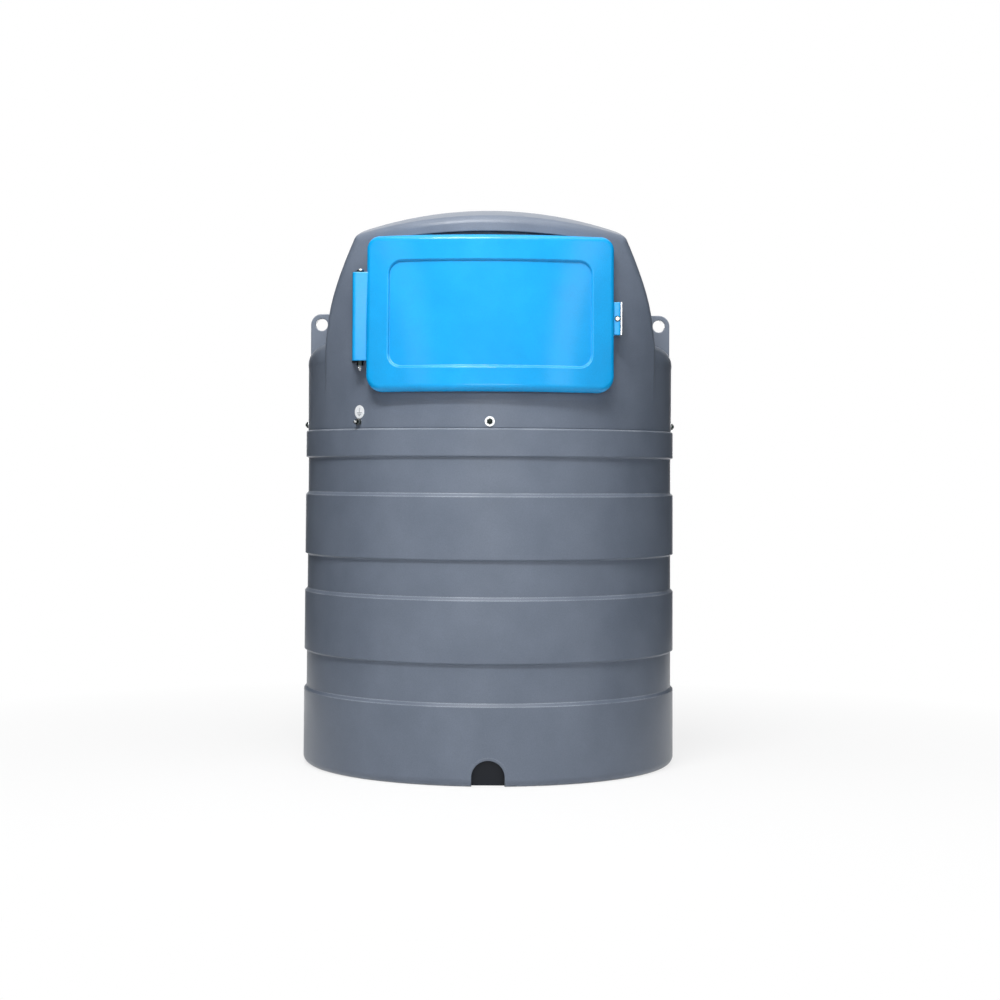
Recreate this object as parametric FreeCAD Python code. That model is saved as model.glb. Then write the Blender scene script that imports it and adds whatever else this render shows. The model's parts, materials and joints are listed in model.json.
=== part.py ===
import FreeCAD, Part
import math
import os

# Bunded storage and dispensing tank for diesel exhaust fluid.
# Units are millimetres. Z is up, the front with the door faces -Y, +X is right.
# The origin is on the ground at the centre of the tub.

os.makedirs("parts", exist_ok=True)
V = FreeCAD.Vector

# Driving dimensions: the tub, a rotomoulded bund with raised bands
tub_radius = 600.0
tub_draft = 5.0
wall = 8.0
band_relief = 8.0
tub_height = 1077.0
band_edges = [(0.0, 250.0), (366.0, 568.0), (677.0, 880.0), (989.0, tub_height)]
ledge_top = 9.0
ledge_bottom = 4.0
tub_foot_radius = 25.0
rim_chamfer = 3.0
notch_width = 100.0
notch_top = 81.0
notch_depth = 44.0

# What lies in plan on the hood keeps its share of the tub: the values below that are
# multiplied by this are true for a tub of 600 mm radius
plan = tub_radius / 600.0

# Lip of the tub and skirt of the inner tank that hangs over it
skirt_step = 6.0
moulding_clearance = 0.3
lip_height = 50.0
skirt_top_gap = 8.0

# Inner tank: vessel, drum above the rim and its round shoulder
vessel_gap = 55.0
vessel_foot_radius = 80.0
shoulder_start = 1280.0
shoulder_top = 1355.0
shoulder_width = 47.0

# Hood of the inner tank
hood_start = 1161.0
hood_lean = 9.0
hood_top_radius = 1300.0 * plan
hood_section_top = 1800.0
hood_section_half = 560.0 * plan
hood_side = [(518.0 * plan, hood_start), (518.0 * plan, 1341.0), (511.0 * plan, 1390.0),
             (502.0 * plan, 1445.0), (470.0 * plan, 1551.0), (410.0 * plan, 1690.0),
             (340.0 * plan, 1852.0)]
roof_top = 1788.0
roof_radius_across = 1266.0 * plan
roof_radius_along = 2025.0 * plan
roof_turn = 30.0
hood_edge_radius = 30.0

# Lifting lugs, moulded with the tank
lug_hole_x = 553.0 * plan
lug_hole_z = 1426.0
lug_radius = 35.0
lug_bore = 40.0
lug_thickness = 36.0

# Equipment cabinet sunk into the front of the hood, and the drip groove above it
cabinet_half_width = 340.0 * plan
cabinet_floor = 1218.0
cabinet_top = 1630.0
cabinet_back = -150.0 * plan
cabinet_corner = 45.0
groove_half_width = 336.0 * plan
groove_bottom = 1652.0
groove_top = 1678.0
groove_depth = 24.0

# Fasteners in the rim
rim_screw_rise = 20.0
rim_screw_angles = [0.0, 90.0, 180.0, 270.0]
earth_angle = -42.4
cabinet_back_radius = 30.0

# Fits and sheet fasteners
pin_clearance = 0.05
screw_radius = 2.5
screw_length = 9.0
screw_head = 2.0

# Door: a hollow moulded dish that follows the curved face of the hood
door_half_width = 377.0 * plan
door_low = 1186.0
door_high = 1663.0
door_corner_low = 52.0
door_corner_high = 40.0
door_seat = 4.0
door_depth = 40.0
door_wall = 6.0
door_edge_radius = 18.0
panel_half_width = 307.0 * plan
panel_low = 1264.0
panel_high = 1583.0
panel_corner = 38.0
panel_depth = 8.0
panel_slope = 5.0
seal_width = 12.0

# Hinge at the left edge of the door
pin_x = -397.0 * plan
pin_y = -478.0 * plan
pin_radius = 6.0
pin_end = 1252.0
pin_head_radius = 9.0
pin_head_height = 5.0
tab_reach = 24.0
tab_half = 12.0
tab_corner = 10.0
tab_low = 1283.0
tab_high = 1553.0
hinge_gap = 2.0
washer_play = 0.3
hinge_sheet = 3.0
hinge_plate_width = 36.0
hinge_plate_turn = 33.0
hinge_foot_x = -408.5 * plan
hinge_foot_y = -433.5 * plan
hinge_screw_inset = 30.0
hinge_nut_flats = 18.0
hinge_nut_height = 10.0
ear_radius = 12.0

# Cam lock at the right edge of the door and its keeper on the hood
lock_x = 388.0 * plan
lock_z = 1415.0
lock_back_y = -463.0 * plan
lock_tab_thickness = 24.0
lock_tab_corner = 4.0
lock_gap = 1.5
lock_body_radius = 7.0
lock_collar_radius = 8.5
lock_collar_height = 2.5
lock_plug_radius = 5.5
cam_thickness = 3.0
cam_half_width = 6.0
cam_length = 26.0
keeper_x = 398.5 * plan
keeper_sheet = 2.5
keeper_width = 19.5
keeper_half_height = 50.0
keeper_seat_y = -452.5 * plan
keeper_front_y = -490.0 * plan
keeper_screw_inset = 10.0

# Bolts through the skirt and the lip, and the earth point
rim_bolt_radius = 5.0
rim_head_height = 4.0
rim_head_gap = 0.1
rim_washer_radius = 15.0
rim_washer_thickness = 2.0
rim_nut_flats = 17.0
rim_nut_height = 6.0
rim_dome_radius = 6.0
rim_dome_height = 4.0
earth_stud_radius = 4.0
earth_reach = 24.0
earth_nut_flats = 13.0
earth_nut_height = 6.5
earth_washer_radius = 10.0
earth_washer_thickness = 1.6
label_z = 1128.0
label_radius = 20.5
label_thickness = 0.6

# Service cover in the cabinet floor, with the suction lance, level probe and vent
cover_x = 110.0 * plan
cover_y = -330.0 * plan
cover_radius = 150.0 * plan
cover_opening = 120.0 * plan
cover_thickness = 12.0
gasket_thickness = 3.0
cover_screw_circle = 136.0 * plan
cover_screw_count = 10
cover_screw_radius = 3.0
cover_head_height = 4.0
lance_x = 170.0 * plan
lance_y = -330.0 * plan
lance_radius = 16.0
lance_wall = 3.0
lance_foot = 60.0
strainer_radius = 26.0
strainer_height = 70.0
probe_x = 50.0 * plan
probe_y = -340.0 * plan
probe_radius = 7.0
probe_foot = 70.0
probe_head_radius = 22.0
probe_head_height = 40.0
vent_x = 110.0 * plan
vent_y = -245.0 * plan
vent_stem = 12.0
vent_rise = 34.0
vent_cap_radius = 28.0

# Fill point
fill_x = -220.0 * plan
fill_y = -360.0 * plan
fill_pipe_radius = 27.0
fill_pipe_wall = 2.0
fill_pipe_foot = 150.0
fill_flange_radius = 52.0
fill_flange_height = 8.0
fill_neck_height = 70.0
fill_collar_radius = 32.0
fill_screw_count = 6
cap_radius = 39.0
cap_height = 30.0
cap_top = 6.0
cap_gap = 0.3

# Dispensing equipment on the steel plate at the back of the cabinet
plate_half_width = 290.0 * plan
plate_low = 1295.0
plate_high = 1590.0
plate_sheet = 2.0
plate_corner = 12.0
line_gap = 76.0
line_z = 1430.0
pipe_radius = 11.0
pipe_wall = 2.0
motor_radius = 58.0
motor_start = 96.0
motor_length = 165.0
head_x = 60.0
head_radius = 50.0
head_half = 30.0
port_radius = 16.0
port_length = 14.0
bend_radius = 26.0
valve_half = 24.0
valve_radius = 21.0
valve_stem_radius = 5.0
handle_length = 95.0
handle_width = 18.0
handle_sheet = 3.0
box_half_width = 42.0
box_depth = 50.0
box_height = 46.0
rocker_half_width = 10.0
rocker_half_height = 7.0
rocker_turn = 16.0
rocker_pin_depth = 3.0
meter_x = -92.0
meter_half_width = 58.0
meter_half_height = 52.0
meter_half_depth = 40.0
meter_corner = 16.0
button_radius = 6.0
button_spacing = 34.0
tail_drop = 95.0
holster_x = -235.0
holster_z = 1500.0
holster_radius = 27.0
holster_wall = 3.0
holster_length = 110.0
holster_lean = 25.0
gland_radius = 10.0
gland_bore = 4.0
gland_nut = 7.0
gland_dome = 9.0

# Values that follow from the ones above
skirt_radius = tub_radius - skirt_step
lip_outer = skirt_radius - wall - moulding_clearance
lip_inner = lip_outer - wall
recess_radius = tub_radius - band_relief
drum_bottom = tub_height + lip_height + skirt_top_gap
rim_screw_z = tub_height + rim_screw_rise
vessel_radius = tub_radius - vessel_gap
tub_foot = tub_radius + tub_draft
line_y = cabinet_back - line_gap
front_reach = 2 * tub_radius

rim_hole = 2 * (rim_bolt_radius + pin_clearance)
earth_hole = 2 * (earth_stud_radius + pin_clearance)
hinge_low_ear = tab_low - hinge_gap - hinge_sheet
hinge_top_ear = tab_high + hinge_gap
cover_low = cabinet_floor + gasket_thickness
cover_high = cover_low + cover_thickness
valve_low = cover_high + 12.0
valve_high = valve_low + 2 * valve_half
valve_z = valve_low + valve_half
suction_turn_z = valve_high + 40.0
plate_front = cabinet_back - plate_sheet
rocker_x = head_x + head_half + motor_length / 2.0
rocker_z = line_z + motor_radius + box_height / 2.0
button_z = line_z - meter_half_height / 2.0
meter_sunk = 5.0


def save(name, shape):
    """Write one node and print what it measures."""
    shape.exportStep("parts/" + name + ".step")
    print(name, len(shape.Solids), "solid(s)", round(shape.Volume / 1000.0, 1), "cm3",
          "valid" if shape.isValid() else "NOT VALID")


def fused(shapes):
    """Fuse solids into one and merge the faces that continue each other."""
    whole = shapes[0].multiFuse(shapes[1:]) if len(shapes) > 1 else shapes[0]
    return whole.removeSplitter()


def line_profile(points):
    """Edges that join points of one vertical half plane, given as radius and height."""
    corners = [V(radius, 0, height) for radius, height in points]
    return [Part.makeLine(a, b) for a, b in zip(corners, corners[1:])]


def turned(edges):
    """Solid of revolution about Z from the edges of a closed profile."""
    wire = Part.Wire(Part.__sortEdges__(edges))
    return Part.Face(wire).revolve(V(0, 0, 0), V(0, 0, 1), 360)


def arc_profile(start, middle, end):
    """Arc of a profile through three points, given as radius and height."""
    points = [V(radius, 0, height) for radius, height in (start, middle, end)]
    return Part.Arc(points[0], points[1], points[2]).toShape()


def corner_arc(centre_r, centre_z, radius, start_deg, end_deg):
    """Arc of a profile about a centre, from one angle to another."""
    picks = []
    for angle in (start_deg, (start_deg + end_deg) / 2.0, end_deg):
        turn = math.radians(angle)
        picks.append((centre_r + radius * math.cos(turn), centre_z + radius * math.sin(turn)))
    return arc_profile(picks[0], picks[1], picks[2])


def rod(radius, start, direction, length):
    """Round bar from a start point along a direction."""
    return Part.makeCylinder(radius, length, V(*start), V(*direction))


def ring(outer, inner, start, direction, length):
    """Tube from a start point along a direction."""
    return rod(outer, start, direction, length).cut(rod(inner, start, direction, length))


def block(x0, x1, y0, y1, z0, z1):
    """Box between six planes."""
    return Part.makeBox(x1 - x0, y1 - y0, z1 - z0, V(x0, y0, z0))


def rounded_outline(x0, x1, z0, z1, radii):
    """Closed wire in the XZ plane: a rectangle with corners low left, low right, up right, up left."""
    r_ll, r_lr, r_ur, r_ul = radii
    diagonal = 1.0 - math.sqrt(0.5)
    p = [V(x0 + r_ll, 0, z0), V(x1 - r_lr, 0, z0), V(x1, 0, z0 + r_lr), V(x1, 0, z1 - r_ur),
         V(x1 - r_ur, 0, z1), V(x0 + r_ul, 0, z1), V(x0, 0, z1 - r_ul), V(x0, 0, z0 + r_ll)]
    m = [V(x1 - r_lr * diagonal, 0, z0 + r_lr * diagonal),
         V(x1 - r_ur * diagonal, 0, z1 - r_ur * diagonal),
         V(x0 + r_ul * diagonal, 0, z1 - r_ul * diagonal),
         V(x0 + r_ll * diagonal, 0, z0 + r_ll * diagonal)]
    edges = [Part.makeLine(p[0], p[1]), Part.Arc(p[1], m[0], p[2]).toShape(),
             Part.makeLine(p[2], p[3]), Part.Arc(p[3], m[1], p[4]).toShape(),
             Part.makeLine(p[4], p[5]), Part.Arc(p[5], m[2], p[6]).toShape(),
             Part.makeLine(p[6], p[7]), Part.Arc(p[7], m[3], p[0]).toShape()]
    return Part.Wire(edges)


def prism_y(wire, y0, y1):
    """Solid of a wire in the XZ plane, pushed along Y."""
    face = Part.Face(wire)
    face.translate(V(0, y0, 0))
    return face.extrude(V(0, y1 - y0, 0))


def rounded_prism(x0, x1, z0, z1, radius, y0, y1):
    """Rectangle with equal round corners in front view, pushed along Y."""
    return prism_y(rounded_outline(x0, x1, z0, z1, [radius] * 4), y0, y1)


# The tub

def band_line(inset):
    """Radius and height along the banded wall, from the foot to the rim."""
    points = []
    for number, (low, high) in enumerate(band_edges):
        if number > 0:
            points.append((recess_radius, low))
            points.append((tub_radius, low + ledge_bottom))
        if number < len(band_edges) - 1:
            points.append((tub_radius, high - ledge_top))
            points.append((recess_radius, high))
    return [(radius + tub_draft * (1 - z / tub_height) - inset, z) for radius, z in points]


def notch_solid(grow):
    """Arched notch in the foot of the tub, larger by the wall where it is lined."""
    half = notch_width / 2.0 + grow
    centre = notch_top - notch_width / 2.0
    depth = notch_depth + grow
    y_back = -tub_radius + depth
    arch = rod(half, (0, -front_reach, centre), (0, 1, 0), front_reach + y_back)
    legs = block(-half, half, -front_reach, y_back, -wall, centre)
    return arch.fuse(legs)


def make_bund_tub():
    foot = tub_foot_radius
    outer = [(0.0, 0.0), (tub_foot - foot, 0.0)]
    rise = [(tub_foot, foot)] + band_line(0.0)
    rise += [(tub_radius, tub_height - rim_chamfer), (tub_radius - rim_chamfer, tub_height),
             (lip_outer, tub_height), (lip_outer, tub_height + lip_height),
             (lip_inner, tub_height + lip_height), (lip_inner, tub_height - wall),
             (tub_radius - wall, tub_height - wall)]
    inner = list(reversed(band_line(wall))) + [(tub_foot - wall, foot)]
    edges = line_profile(outer)
    edges.append(corner_arc(tub_foot - foot, foot, foot, -90, 0))
    edges += line_profile(rise + inner)
    edges.append(corner_arc(tub_foot - foot, foot, foot - wall, 0, -90))
    edges += line_profile([(tub_foot - foot, wall), (0.0, wall), (0.0, 0.0)])
    shell = turned(edges)
    body_of_tub = turned(line_profile([(0, 0), (tub_foot - foot, 0)])
                         + [corner_arc(tub_foot - foot, foot, foot, -90, 0)]
                         + line_profile([(tub_foot, foot), (tub_foot, 2 * notch_top),
                                         (0, 2 * notch_top), (0, 0)]))
    lining = notch_solid(wall).common(body_of_tub)
    tub = shell.fuse(lining).cut(notch_solid(0.0))
    for angle in rim_screw_angles:
        tub = tub.cut(radial_hole(angle, rim_hole))
    return tub.cut(radial_hole(earth_angle, earth_hole)).removeSplitter()


def radial(angle):
    """Unit vector that points out of the tank; 0 is the front and 90 the right side."""
    turn = math.radians(angle)
    return V(math.sin(turn), -math.cos(turn), 0)


def radial_hole(angle, diameter):
    """Drill through the skirt and the lip at the height of the rim screws."""
    out = radial(angle)
    start = out * (lip_inner - wall) + V(0, 0, rim_screw_z)
    return Part.makeCylinder(diameter / 2.0, 5 * wall, start, out)


# The inner tank

def vessel_solid(inset):
    """Lower part of the inner tank, inside the tub."""
    radius = vessel_radius - inset
    foot = vessel_foot_radius - inset
    low = wall + inset
    top = drum_bottom + 2 * wall
    edges = line_profile([(0, low), (radius - foot, low)])
    edges.append(corner_arc(radius - foot, low + foot, foot, -90, 0))
    edges += line_profile([(radius, low + foot), (radius, top), (0, top), (0, low)])
    return turned(edges)


def drum_solid(inset):
    """Drum above the rim with its round shoulder."""
    radius = skirt_radius - inset
    inner = skirt_radius - shoulder_width
    top = shoulder_top - inset
    low = drum_bottom + inset
    diagonal = math.sqrt(0.5)
    rise = shoulder_top - shoulder_start
    middle = (inner + (shoulder_width - inset) * diagonal,
              shoulder_start + (rise - inset) * diagonal)
    edges = line_profile([(0, low), (radius, low), (radius, shoulder_start)])
    edges.append(arc_profile((radius, shoulder_start), middle, (inner, top)))
    edges += line_profile([(inner, top), (0, top), (0, low)])
    return turned(edges)


def section_arc(radius, y_front, half, z):
    """Ends and middle of a plan arc, at one height, for the front of the hood."""
    sag = radius - math.sqrt(radius * radius - half * half)
    return [V(-half, y_front + sag, z), V(0, y_front, z), V(half, y_front + sag, z)]


def hood_section(z, radius, y_front, half):
    """Closed plan section of the hood: front arc, side, back arc and side."""
    front = section_arc(radius, y_front, half, z)
    back = [V(point.x, -point.y, point.z) for point in reversed(front)]
    return Part.Wire([Part.Arc(front[0], front[1], front[2]).toShape(),
                      Part.makeLine(front[2], back[0]),
                      Part.Arc(back[0], back[1], back[2]).toShape(),
                      Part.makeLine(back[2], front[0])])


def hood_faces(offset):
    """Solid between the leaning front and back faces; offset moves them outwards."""
    lean = (hood_section_top - hood_start) * math.tan(math.radians(hood_lean))
    low = hood_section(hood_start, skirt_radius + offset, -skirt_radius - offset,
                       hood_section_half)
    high = hood_section(hood_section_top, hood_top_radius + offset,
                        -skirt_radius + lean - offset, hood_section_half)
    return Part.makeLoft([low, high], True, True)


def hood_sides(inset):
    """Solid between the side walls of the hood, pushed front to back."""
    right = [V(half - inset, 0, height) for half, height in hood_side]
    left = [V(-point.x, 0, point.z) for point in reversed(right)]
    curve = Part.BSplineCurve()
    curve.interpolate(right[1:])
    mirrored = Part.BSplineCurve()
    mirrored.interpolate(left[:-1])
    edges = [Part.makeLine(left[-1], right[0]), Part.makeLine(right[0], right[1]),
             curve.toShape(), Part.makeLine(right[-1], left[0]), mirrored.toShape(),
             Part.makeLine(left[-2], left[-1])]
    return prism_y(Part.Wire(edges), -front_reach, front_reach)


def hood_roof(inset):
    """Solid under the arched roof, which is also domed from front to back."""
    half = hood_section_half
    top = roof_top - inset
    across = roof_radius_across - inset
    sag = across - math.sqrt(across * across - half * half)
    low = hood_start / 2.0
    edges = [Part.Arc(V(-half, 0, top - sag), V(0, 0, top), V(half, 0, top - sag)).toShape(),
             Part.makeLine(V(half, 0, top - sag), V(half, 0, low)),
             Part.makeLine(V(half, 0, low), V(-half, 0, low)),
             Part.makeLine(V(-half, 0, low), V(-half, 0, top - sag))]
    face = Part.Face(Part.Wire(edges))
    axis = V(0, 0, roof_top - roof_radius_along)
    face.rotate(axis, V(1, 0, 0), -roof_turn)
    return face.revolve(axis, V(1, 0, 0), 2 * roof_turn)


def hood_solid(inset):
    """Hood with rounded edges; the inset hood is the space inside the wall."""
    raw = hood_faces(-inset).common(hood_sides(inset)).common(hood_roof(inset))
    raw = raw.removeSplitter()
    low = hood_start + 2.0
    edges = []
    for edge in raw.Edges:
        box = edge.BoundBox
        if box.ZMin > low or (box.ZMax - box.ZMin) > 60.0:
            edges.append(edge)
    return raw.makeFillet(hood_edge_radius - inset, edges)


def cabinet_space(grow):
    """Space of the equipment cabinet; grown by the wall it is the outside of its lining."""
    half = cabinet_half_width + grow
    back = cabinet_back + grow
    space = rounded_prism(-half, half, cabinet_floor - grow, cabinet_top + grow,
                          cabinet_corner + grow, -front_reach, back)
    edges = [edge for edge in space.Edges if edge.BoundBox.YMin > back - 0.01]
    return space.makeFillet(cabinet_back_radius + grow, edges)


def groove_space(grow):
    """Arched drip groove above the door, cut into the face of the hood."""
    half = groove_half_width + grow
    low = groove_bottom - grow
    shoulder = groove_bottom + 2.0
    edges = [Part.makeLine(V(-half, 0, low), V(half, 0, low)),
             Part.makeLine(V(half, 0, low), V(half, 0, shoulder)),
             Part.Arc(V(half, 0, shoulder), V(0, 0, groove_top + grow),
                      V(-half, 0, shoulder)).toShape(),
             Part.makeLine(V(-half, 0, shoulder), V(-half, 0, low))]
    behind = hood_faces(0.0)
    behind.translate(V(0, groove_depth + grow, 0))
    return prism_y(Part.Wire(edges), -front_reach, 0.0).cut(behind)


def lug(side):
    """Lifting lug on the shoulder; side is 1 on the right and -1 on the left."""
    y0 = -lug_thickness / 2.0
    y1 = lug_thickness / 2.0
    inner = lug_hole_x - 2 * lug_radius
    top = lug_hole_z + lug_radius
    outer = lug_hole_x + lug_radius
    diagonal = lug_radius * math.sqrt(0.5)
    points = [V(inner, 0, shoulder_start), V(outer, 0, shoulder_start), V(outer, 0, lug_hole_z),
              V(lug_hole_x, 0, top), V(inner, 0, top)]
    middle = V(lug_hole_x + diagonal, 0, lug_hole_z + diagonal)
    edges = [Part.makeLine(points[0], points[1]), Part.makeLine(points[1], points[2]),
             Part.Arc(points[2], middle, points[3]).toShape(),
             Part.makeLine(points[3], points[4]), Part.makeLine(points[4], points[0])]
    plate = prism_y(Part.Wire(edges), y0, y1)
    if side < 0:
        plate = plate.mirror(V(0, 0, 0), V(1, 0, 0))
    return plate


def lug_hole(side):
    return rod(lug_bore / 2.0, (side * lug_hole_x, -lug_thickness, lug_hole_z), (0, 1, 0),
               2 * lug_thickness)


def hinge_frame(shape):
    """Place a shape drawn about the foot of the hinge plate: X across, Y out, Z up."""
    shape = shape.copy()
    shape.rotate(V(0, 0, 0), V(0, 0, 1), -hinge_plate_turn)
    shape.translate(V(hinge_foot_x, hinge_foot_y, 0))
    return shape


def hinge_pad():
    """Flat seat on the hood for the hinge bracket."""
    half = hinge_plate_width / 2.0
    return hinge_frame(block(-half, half, 0.0, 2 * wall, hinge_low_ear, hinge_top_ear + hinge_sheet))


def hinge_screw_places():
    low = hinge_low_ear + hinge_screw_inset
    high = hinge_top_ear + hinge_sheet - hinge_screw_inset
    return [low, (low + high) / 2.0, high]


def hinge_screw_holes(diameter, depth):
    holes = [rod(diameter / 2.0, (0, -1.0, z), (0, 1, 0), depth + 1.0) for z in hinge_screw_places()]
    return [hinge_frame(hole) for hole in holes]


def keeper_pad():
    return block(keeper_x - keeper_width, keeper_x + keeper_sheet, keeper_seat_y,
                 keeper_seat_y + 3 * wall, lock_z - keeper_half_height, lock_z + keeper_half_height)


def keeper_screw_places():
    x = keeper_x - keeper_width / 2.0
    reach = keeper_half_height - keeper_screw_inset
    return [(x, lock_z - reach), (x, lock_z + reach)]


def make_inner_tank():
    outer = fused([vessel_solid(0.0), drum_solid(0.0), hood_solid(0.0),
                   ring(skirt_radius, skirt_radius - wall, (0, 0, tub_height), (0, 0, 1),
                        drum_bottom - tub_height + wall)])
    space = fused([vessel_solid(wall), drum_solid(wall), hood_solid(wall)])
    space = space.cut(cabinet_space(wall))
    space = space.cut(groove_space(wall))
    shell = outer.cut(space)
    shell = shell.multiFuse([lug(1), lug(-1), hinge_pad().cut(space), keeper_pad().cut(space)])
    shell = shell.cut(cabinet_space(0.0))
    shell = shell.cut(groove_space(0.0))
    for side in (1, -1):
        shell = shell.cut(lug_hole(side))
    for angle in rim_screw_angles:
        shell = shell.cut(radial_hole(angle, rim_hole))
    shell = shell.cut(radial_hole(earth_angle, earth_hole))
    for hole in tank_openings():
        shell = shell.cut(hole)
    print("tank holds", round(space.Volume / 1e6), "litres when full")
    return shell.removeSplitter()


# The door, its seal, the hinge and the lock

def door_outline(inset):
    half = door_half_width - inset
    low = door_corner_low - inset
    high = door_corner_high - inset
    return rounded_outline(-half, half, door_low + inset, door_high - inset,
                           [low, low, high, high])


def panel_outline(grow):
    half = panel_half_width + grow
    return rounded_outline(-half, half, panel_low - grow, panel_high + grow,
                           [panel_corner + grow] * 4)


def on_face(wire, low, high):
    """Slab that follows the face of the hood between two distances from it."""
    slab = prism_y(wire, -front_reach, 0.0).common(hood_faces(high))
    return slab.cut(hood_faces(low))


def edges_far_from(shape, other, distance):
    """Edges of a slab whose middle lies at least a distance from another solid."""
    found = []
    for edge in shape.Edges:
        middle = edge.valueAt((edge.FirstParameter + edge.LastParameter) / 2.0)
        if Part.Vertex(middle).distToShape(other)[0] > distance:
            found.append(edge)
    return found


def hinge_tab():
    """Thick tab on the left edge of the door that holds the hinge pin."""
    left = pin_x - tab_reach
    right = wall - door_half_width
    tab = block(left, right, pin_y - tab_half, pin_y + tab_half, tab_low, tab_high)
    corners = [edge for edge in tab.Edges
               if edge.BoundBox.ZLength > tab_half and edge.BoundBox.XMax < left + 1.0]
    tab = tab.makeFillet(tab_corner, corners)
    return tab.cut(rod(pin_radius + pin_clearance, (pin_x, pin_y, tab_low - 1.0), (0, 0, 1),
                       tab_high - tab_low + 2.0))


def lock_tab():
    """Thick tab on the right edge of the door that holds the lock."""
    right = keeper_x - lock_gap
    tab = block(door_half_width - wall, right, lock_back_y - lock_tab_thickness, lock_back_y,
                lock_z - keeper_half_height, lock_z + keeper_half_height)
    corners = [edge for edge in tab.Edges
               if edge.BoundBox.YLength < 1.0 and edge.BoundBox.XMin > right - 1.0]
    return tab.makeFillet(lock_tab_corner, corners)


def make_cabinet_door():
    back = hood_faces(door_seat)
    skin = on_face(door_outline(0.0), door_seat, door_seat + door_depth)
    skin = skin.makeFillet(door_edge_radius, edges_far_from(skin, back, 0.9 * door_depth))
    sunk = prism_y(panel_outline(0.0), -front_reach, 0.0)
    sunk = sunk.cut(hood_faces(door_seat + door_depth - panel_depth))
    skin = skin.cut(sunk)
    hollow = on_face(door_outline(door_wall), 0.0, door_seat + door_depth - door_wall)
    inner_edges = edges_far_from(hollow, hood_faces(0.0), 0.8 * door_depth)
    hollow = hollow.makeFillet(door_edge_radius - door_wall, inner_edges)
    under_panel = prism_y(panel_outline(door_wall), -front_reach, 0.0)
    under_panel = under_panel.cut(hood_faces(door_seat + door_depth - panel_depth - door_wall))
    hollow = hollow.cut(under_panel)
    edge_of_panel = edges_far_from(skin, hood_faces(door_seat), door_depth - 2.0)
    opening = [edge for edge in edge_of_panel
               if abs(edge.CenterOfMass.x) < panel_half_width + 1.0
               and panel_low - 1.0 < edge.CenterOfMass.z < panel_high + 1.0]
    skin = skin.makeChamfer(panel_slope, opening)
    door = skin.cut(hollow)
    tabs = [hinge_tab().cut(hollow), lock_tab().cut(hollow)]
    door = door.multiFuse(tabs)
    door = door.cut(rod(lock_body_radius + pin_clearance, (lock_x, lock_back_y - 2 * door_depth,
                                                          lock_z), (0, 1, 0), 4 * door_depth))
    return door.removeSplitter()


def make_door_seal():
    strip = prism_y(door_outline(0.0), -front_reach, 0.0)
    strip = strip.cut(prism_y(door_outline(seal_width), -2 * front_reach, 0.0))
    return strip.common(hood_faces(door_seat)).cut(hood_faces(moulding_clearance))


def make_hinge_bracket():
    """Folded steel strip: a plate on the hood and two ears that hold the pin."""
    half = hinge_plate_width / 2.0
    plate = hinge_frame(block(-half, half, -hinge_sheet, 0.0, hinge_low_ear,
                              hinge_top_ear + hinge_sheet))
    ears = []
    for z in (hinge_low_ear, hinge_top_ear):
        ears.append(rod(ear_radius, (pin_x, pin_y, z), (0, 0, 1), hinge_sheet))
        ends = [hinge_frame(Part.Vertex(x, -hinge_sheet / 2.0, z)).Point for x in (-half, half)]
        outline = [ends[0], V(pin_x - ear_radius, pin_y, z), V(pin_x + ear_radius, pin_y, z),
                   ends[1], ends[0]]
        ears.append(Part.Face(Part.makePolygon(outline)).extrude(V(0, 0, hinge_sheet)))
    bracket = plate.multiFuse(ears)
    bracket = bracket.cut(rod(pin_radius + pin_clearance, (pin_x, pin_y, hinge_low_ear - 1.0),
                              (0, 0, 1), hinge_top_ear - hinge_low_ear + 2 * hinge_sheet + 2.0))
    for screw in hinge_screws(screw_form):
        bracket = bracket.cut(screw)
    return bracket.removeSplitter()


def screw_form(radius, length):
    """Outer form of a countersunk screw along +Y, its flat head at Y = 0."""
    cone = Part.makeCone(2.0 * radius, radius, screw_head, V(0, 0, 0), V(0, 1, 0))
    return cone.fuse(rod(radius, (0, 0, 0), (0, 1, 0), length))


def countersunk_screw(radius, length):
    """Countersunk screw with a slot in its head."""
    reach = 1.2 * radius
    slot = block(-reach, reach, -1.0, radius * 0.5, -radius / 4.0, radius / 4.0)
    return screw_form(radius, length).cut(slot)


def hinge_screws(form):
    screws = []
    for z in hinge_screw_places():
        screw = form(screw_radius, screw_length)
        screw.translate(V(0, -hinge_sheet, z))
        screws.append(hinge_frame(screw))
    return screws


def make_hinge_pin():
    """Shouldered pin with a button head above the upper ear."""
    top = hinge_top_ear + hinge_sheet
    shank = rod(pin_radius, (pin_x, pin_y, pin_end), (0, 0, 1), top - pin_end)
    tip = [edge for edge in shank.Edges if edge.BoundBox.ZMax < pin_end + 0.1]
    shank = shank.makeChamfer(pin_radius * 0.5, tip)
    head = rod(pin_head_radius, (pin_x, pin_y, top), (0, 0, 1), pin_head_height)
    crown = [edge for edge in head.Edges if edge.BoundBox.ZMin > top + pin_head_height - 0.1]
    return shank.fuse(head.makeFillet(2.0, crown)).removeSplitter()


def hexagon(across_flats, start, direction, height):
    """Hexagonal prism from a start point along a direction."""
    radius = across_flats / math.sqrt(3.0)
    corners = [V(radius * math.cos(math.radians(60 * k)), radius * math.sin(math.radians(60 * k)), 0)
               for k in range(7)]
    prism = Part.Face(Part.makePolygon(corners)).extrude(V(0, 0, height))
    prism.Placement = FreeCAD.Placement(V(*start), FreeCAD.Rotation(V(0, 0, 1), V(*direction)))
    return prism


def make_hinge_nut():
    nut = hexagon(hinge_nut_flats, (pin_x, pin_y, hinge_low_ear - hinge_nut_height), (0, 0, 1),
                  hinge_nut_height)
    return nut.cut(rod(pin_radius, (pin_x, pin_y, hinge_low_ear - 2 * hinge_nut_height), (0, 0, 1),
                       3 * hinge_nut_height))


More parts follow.
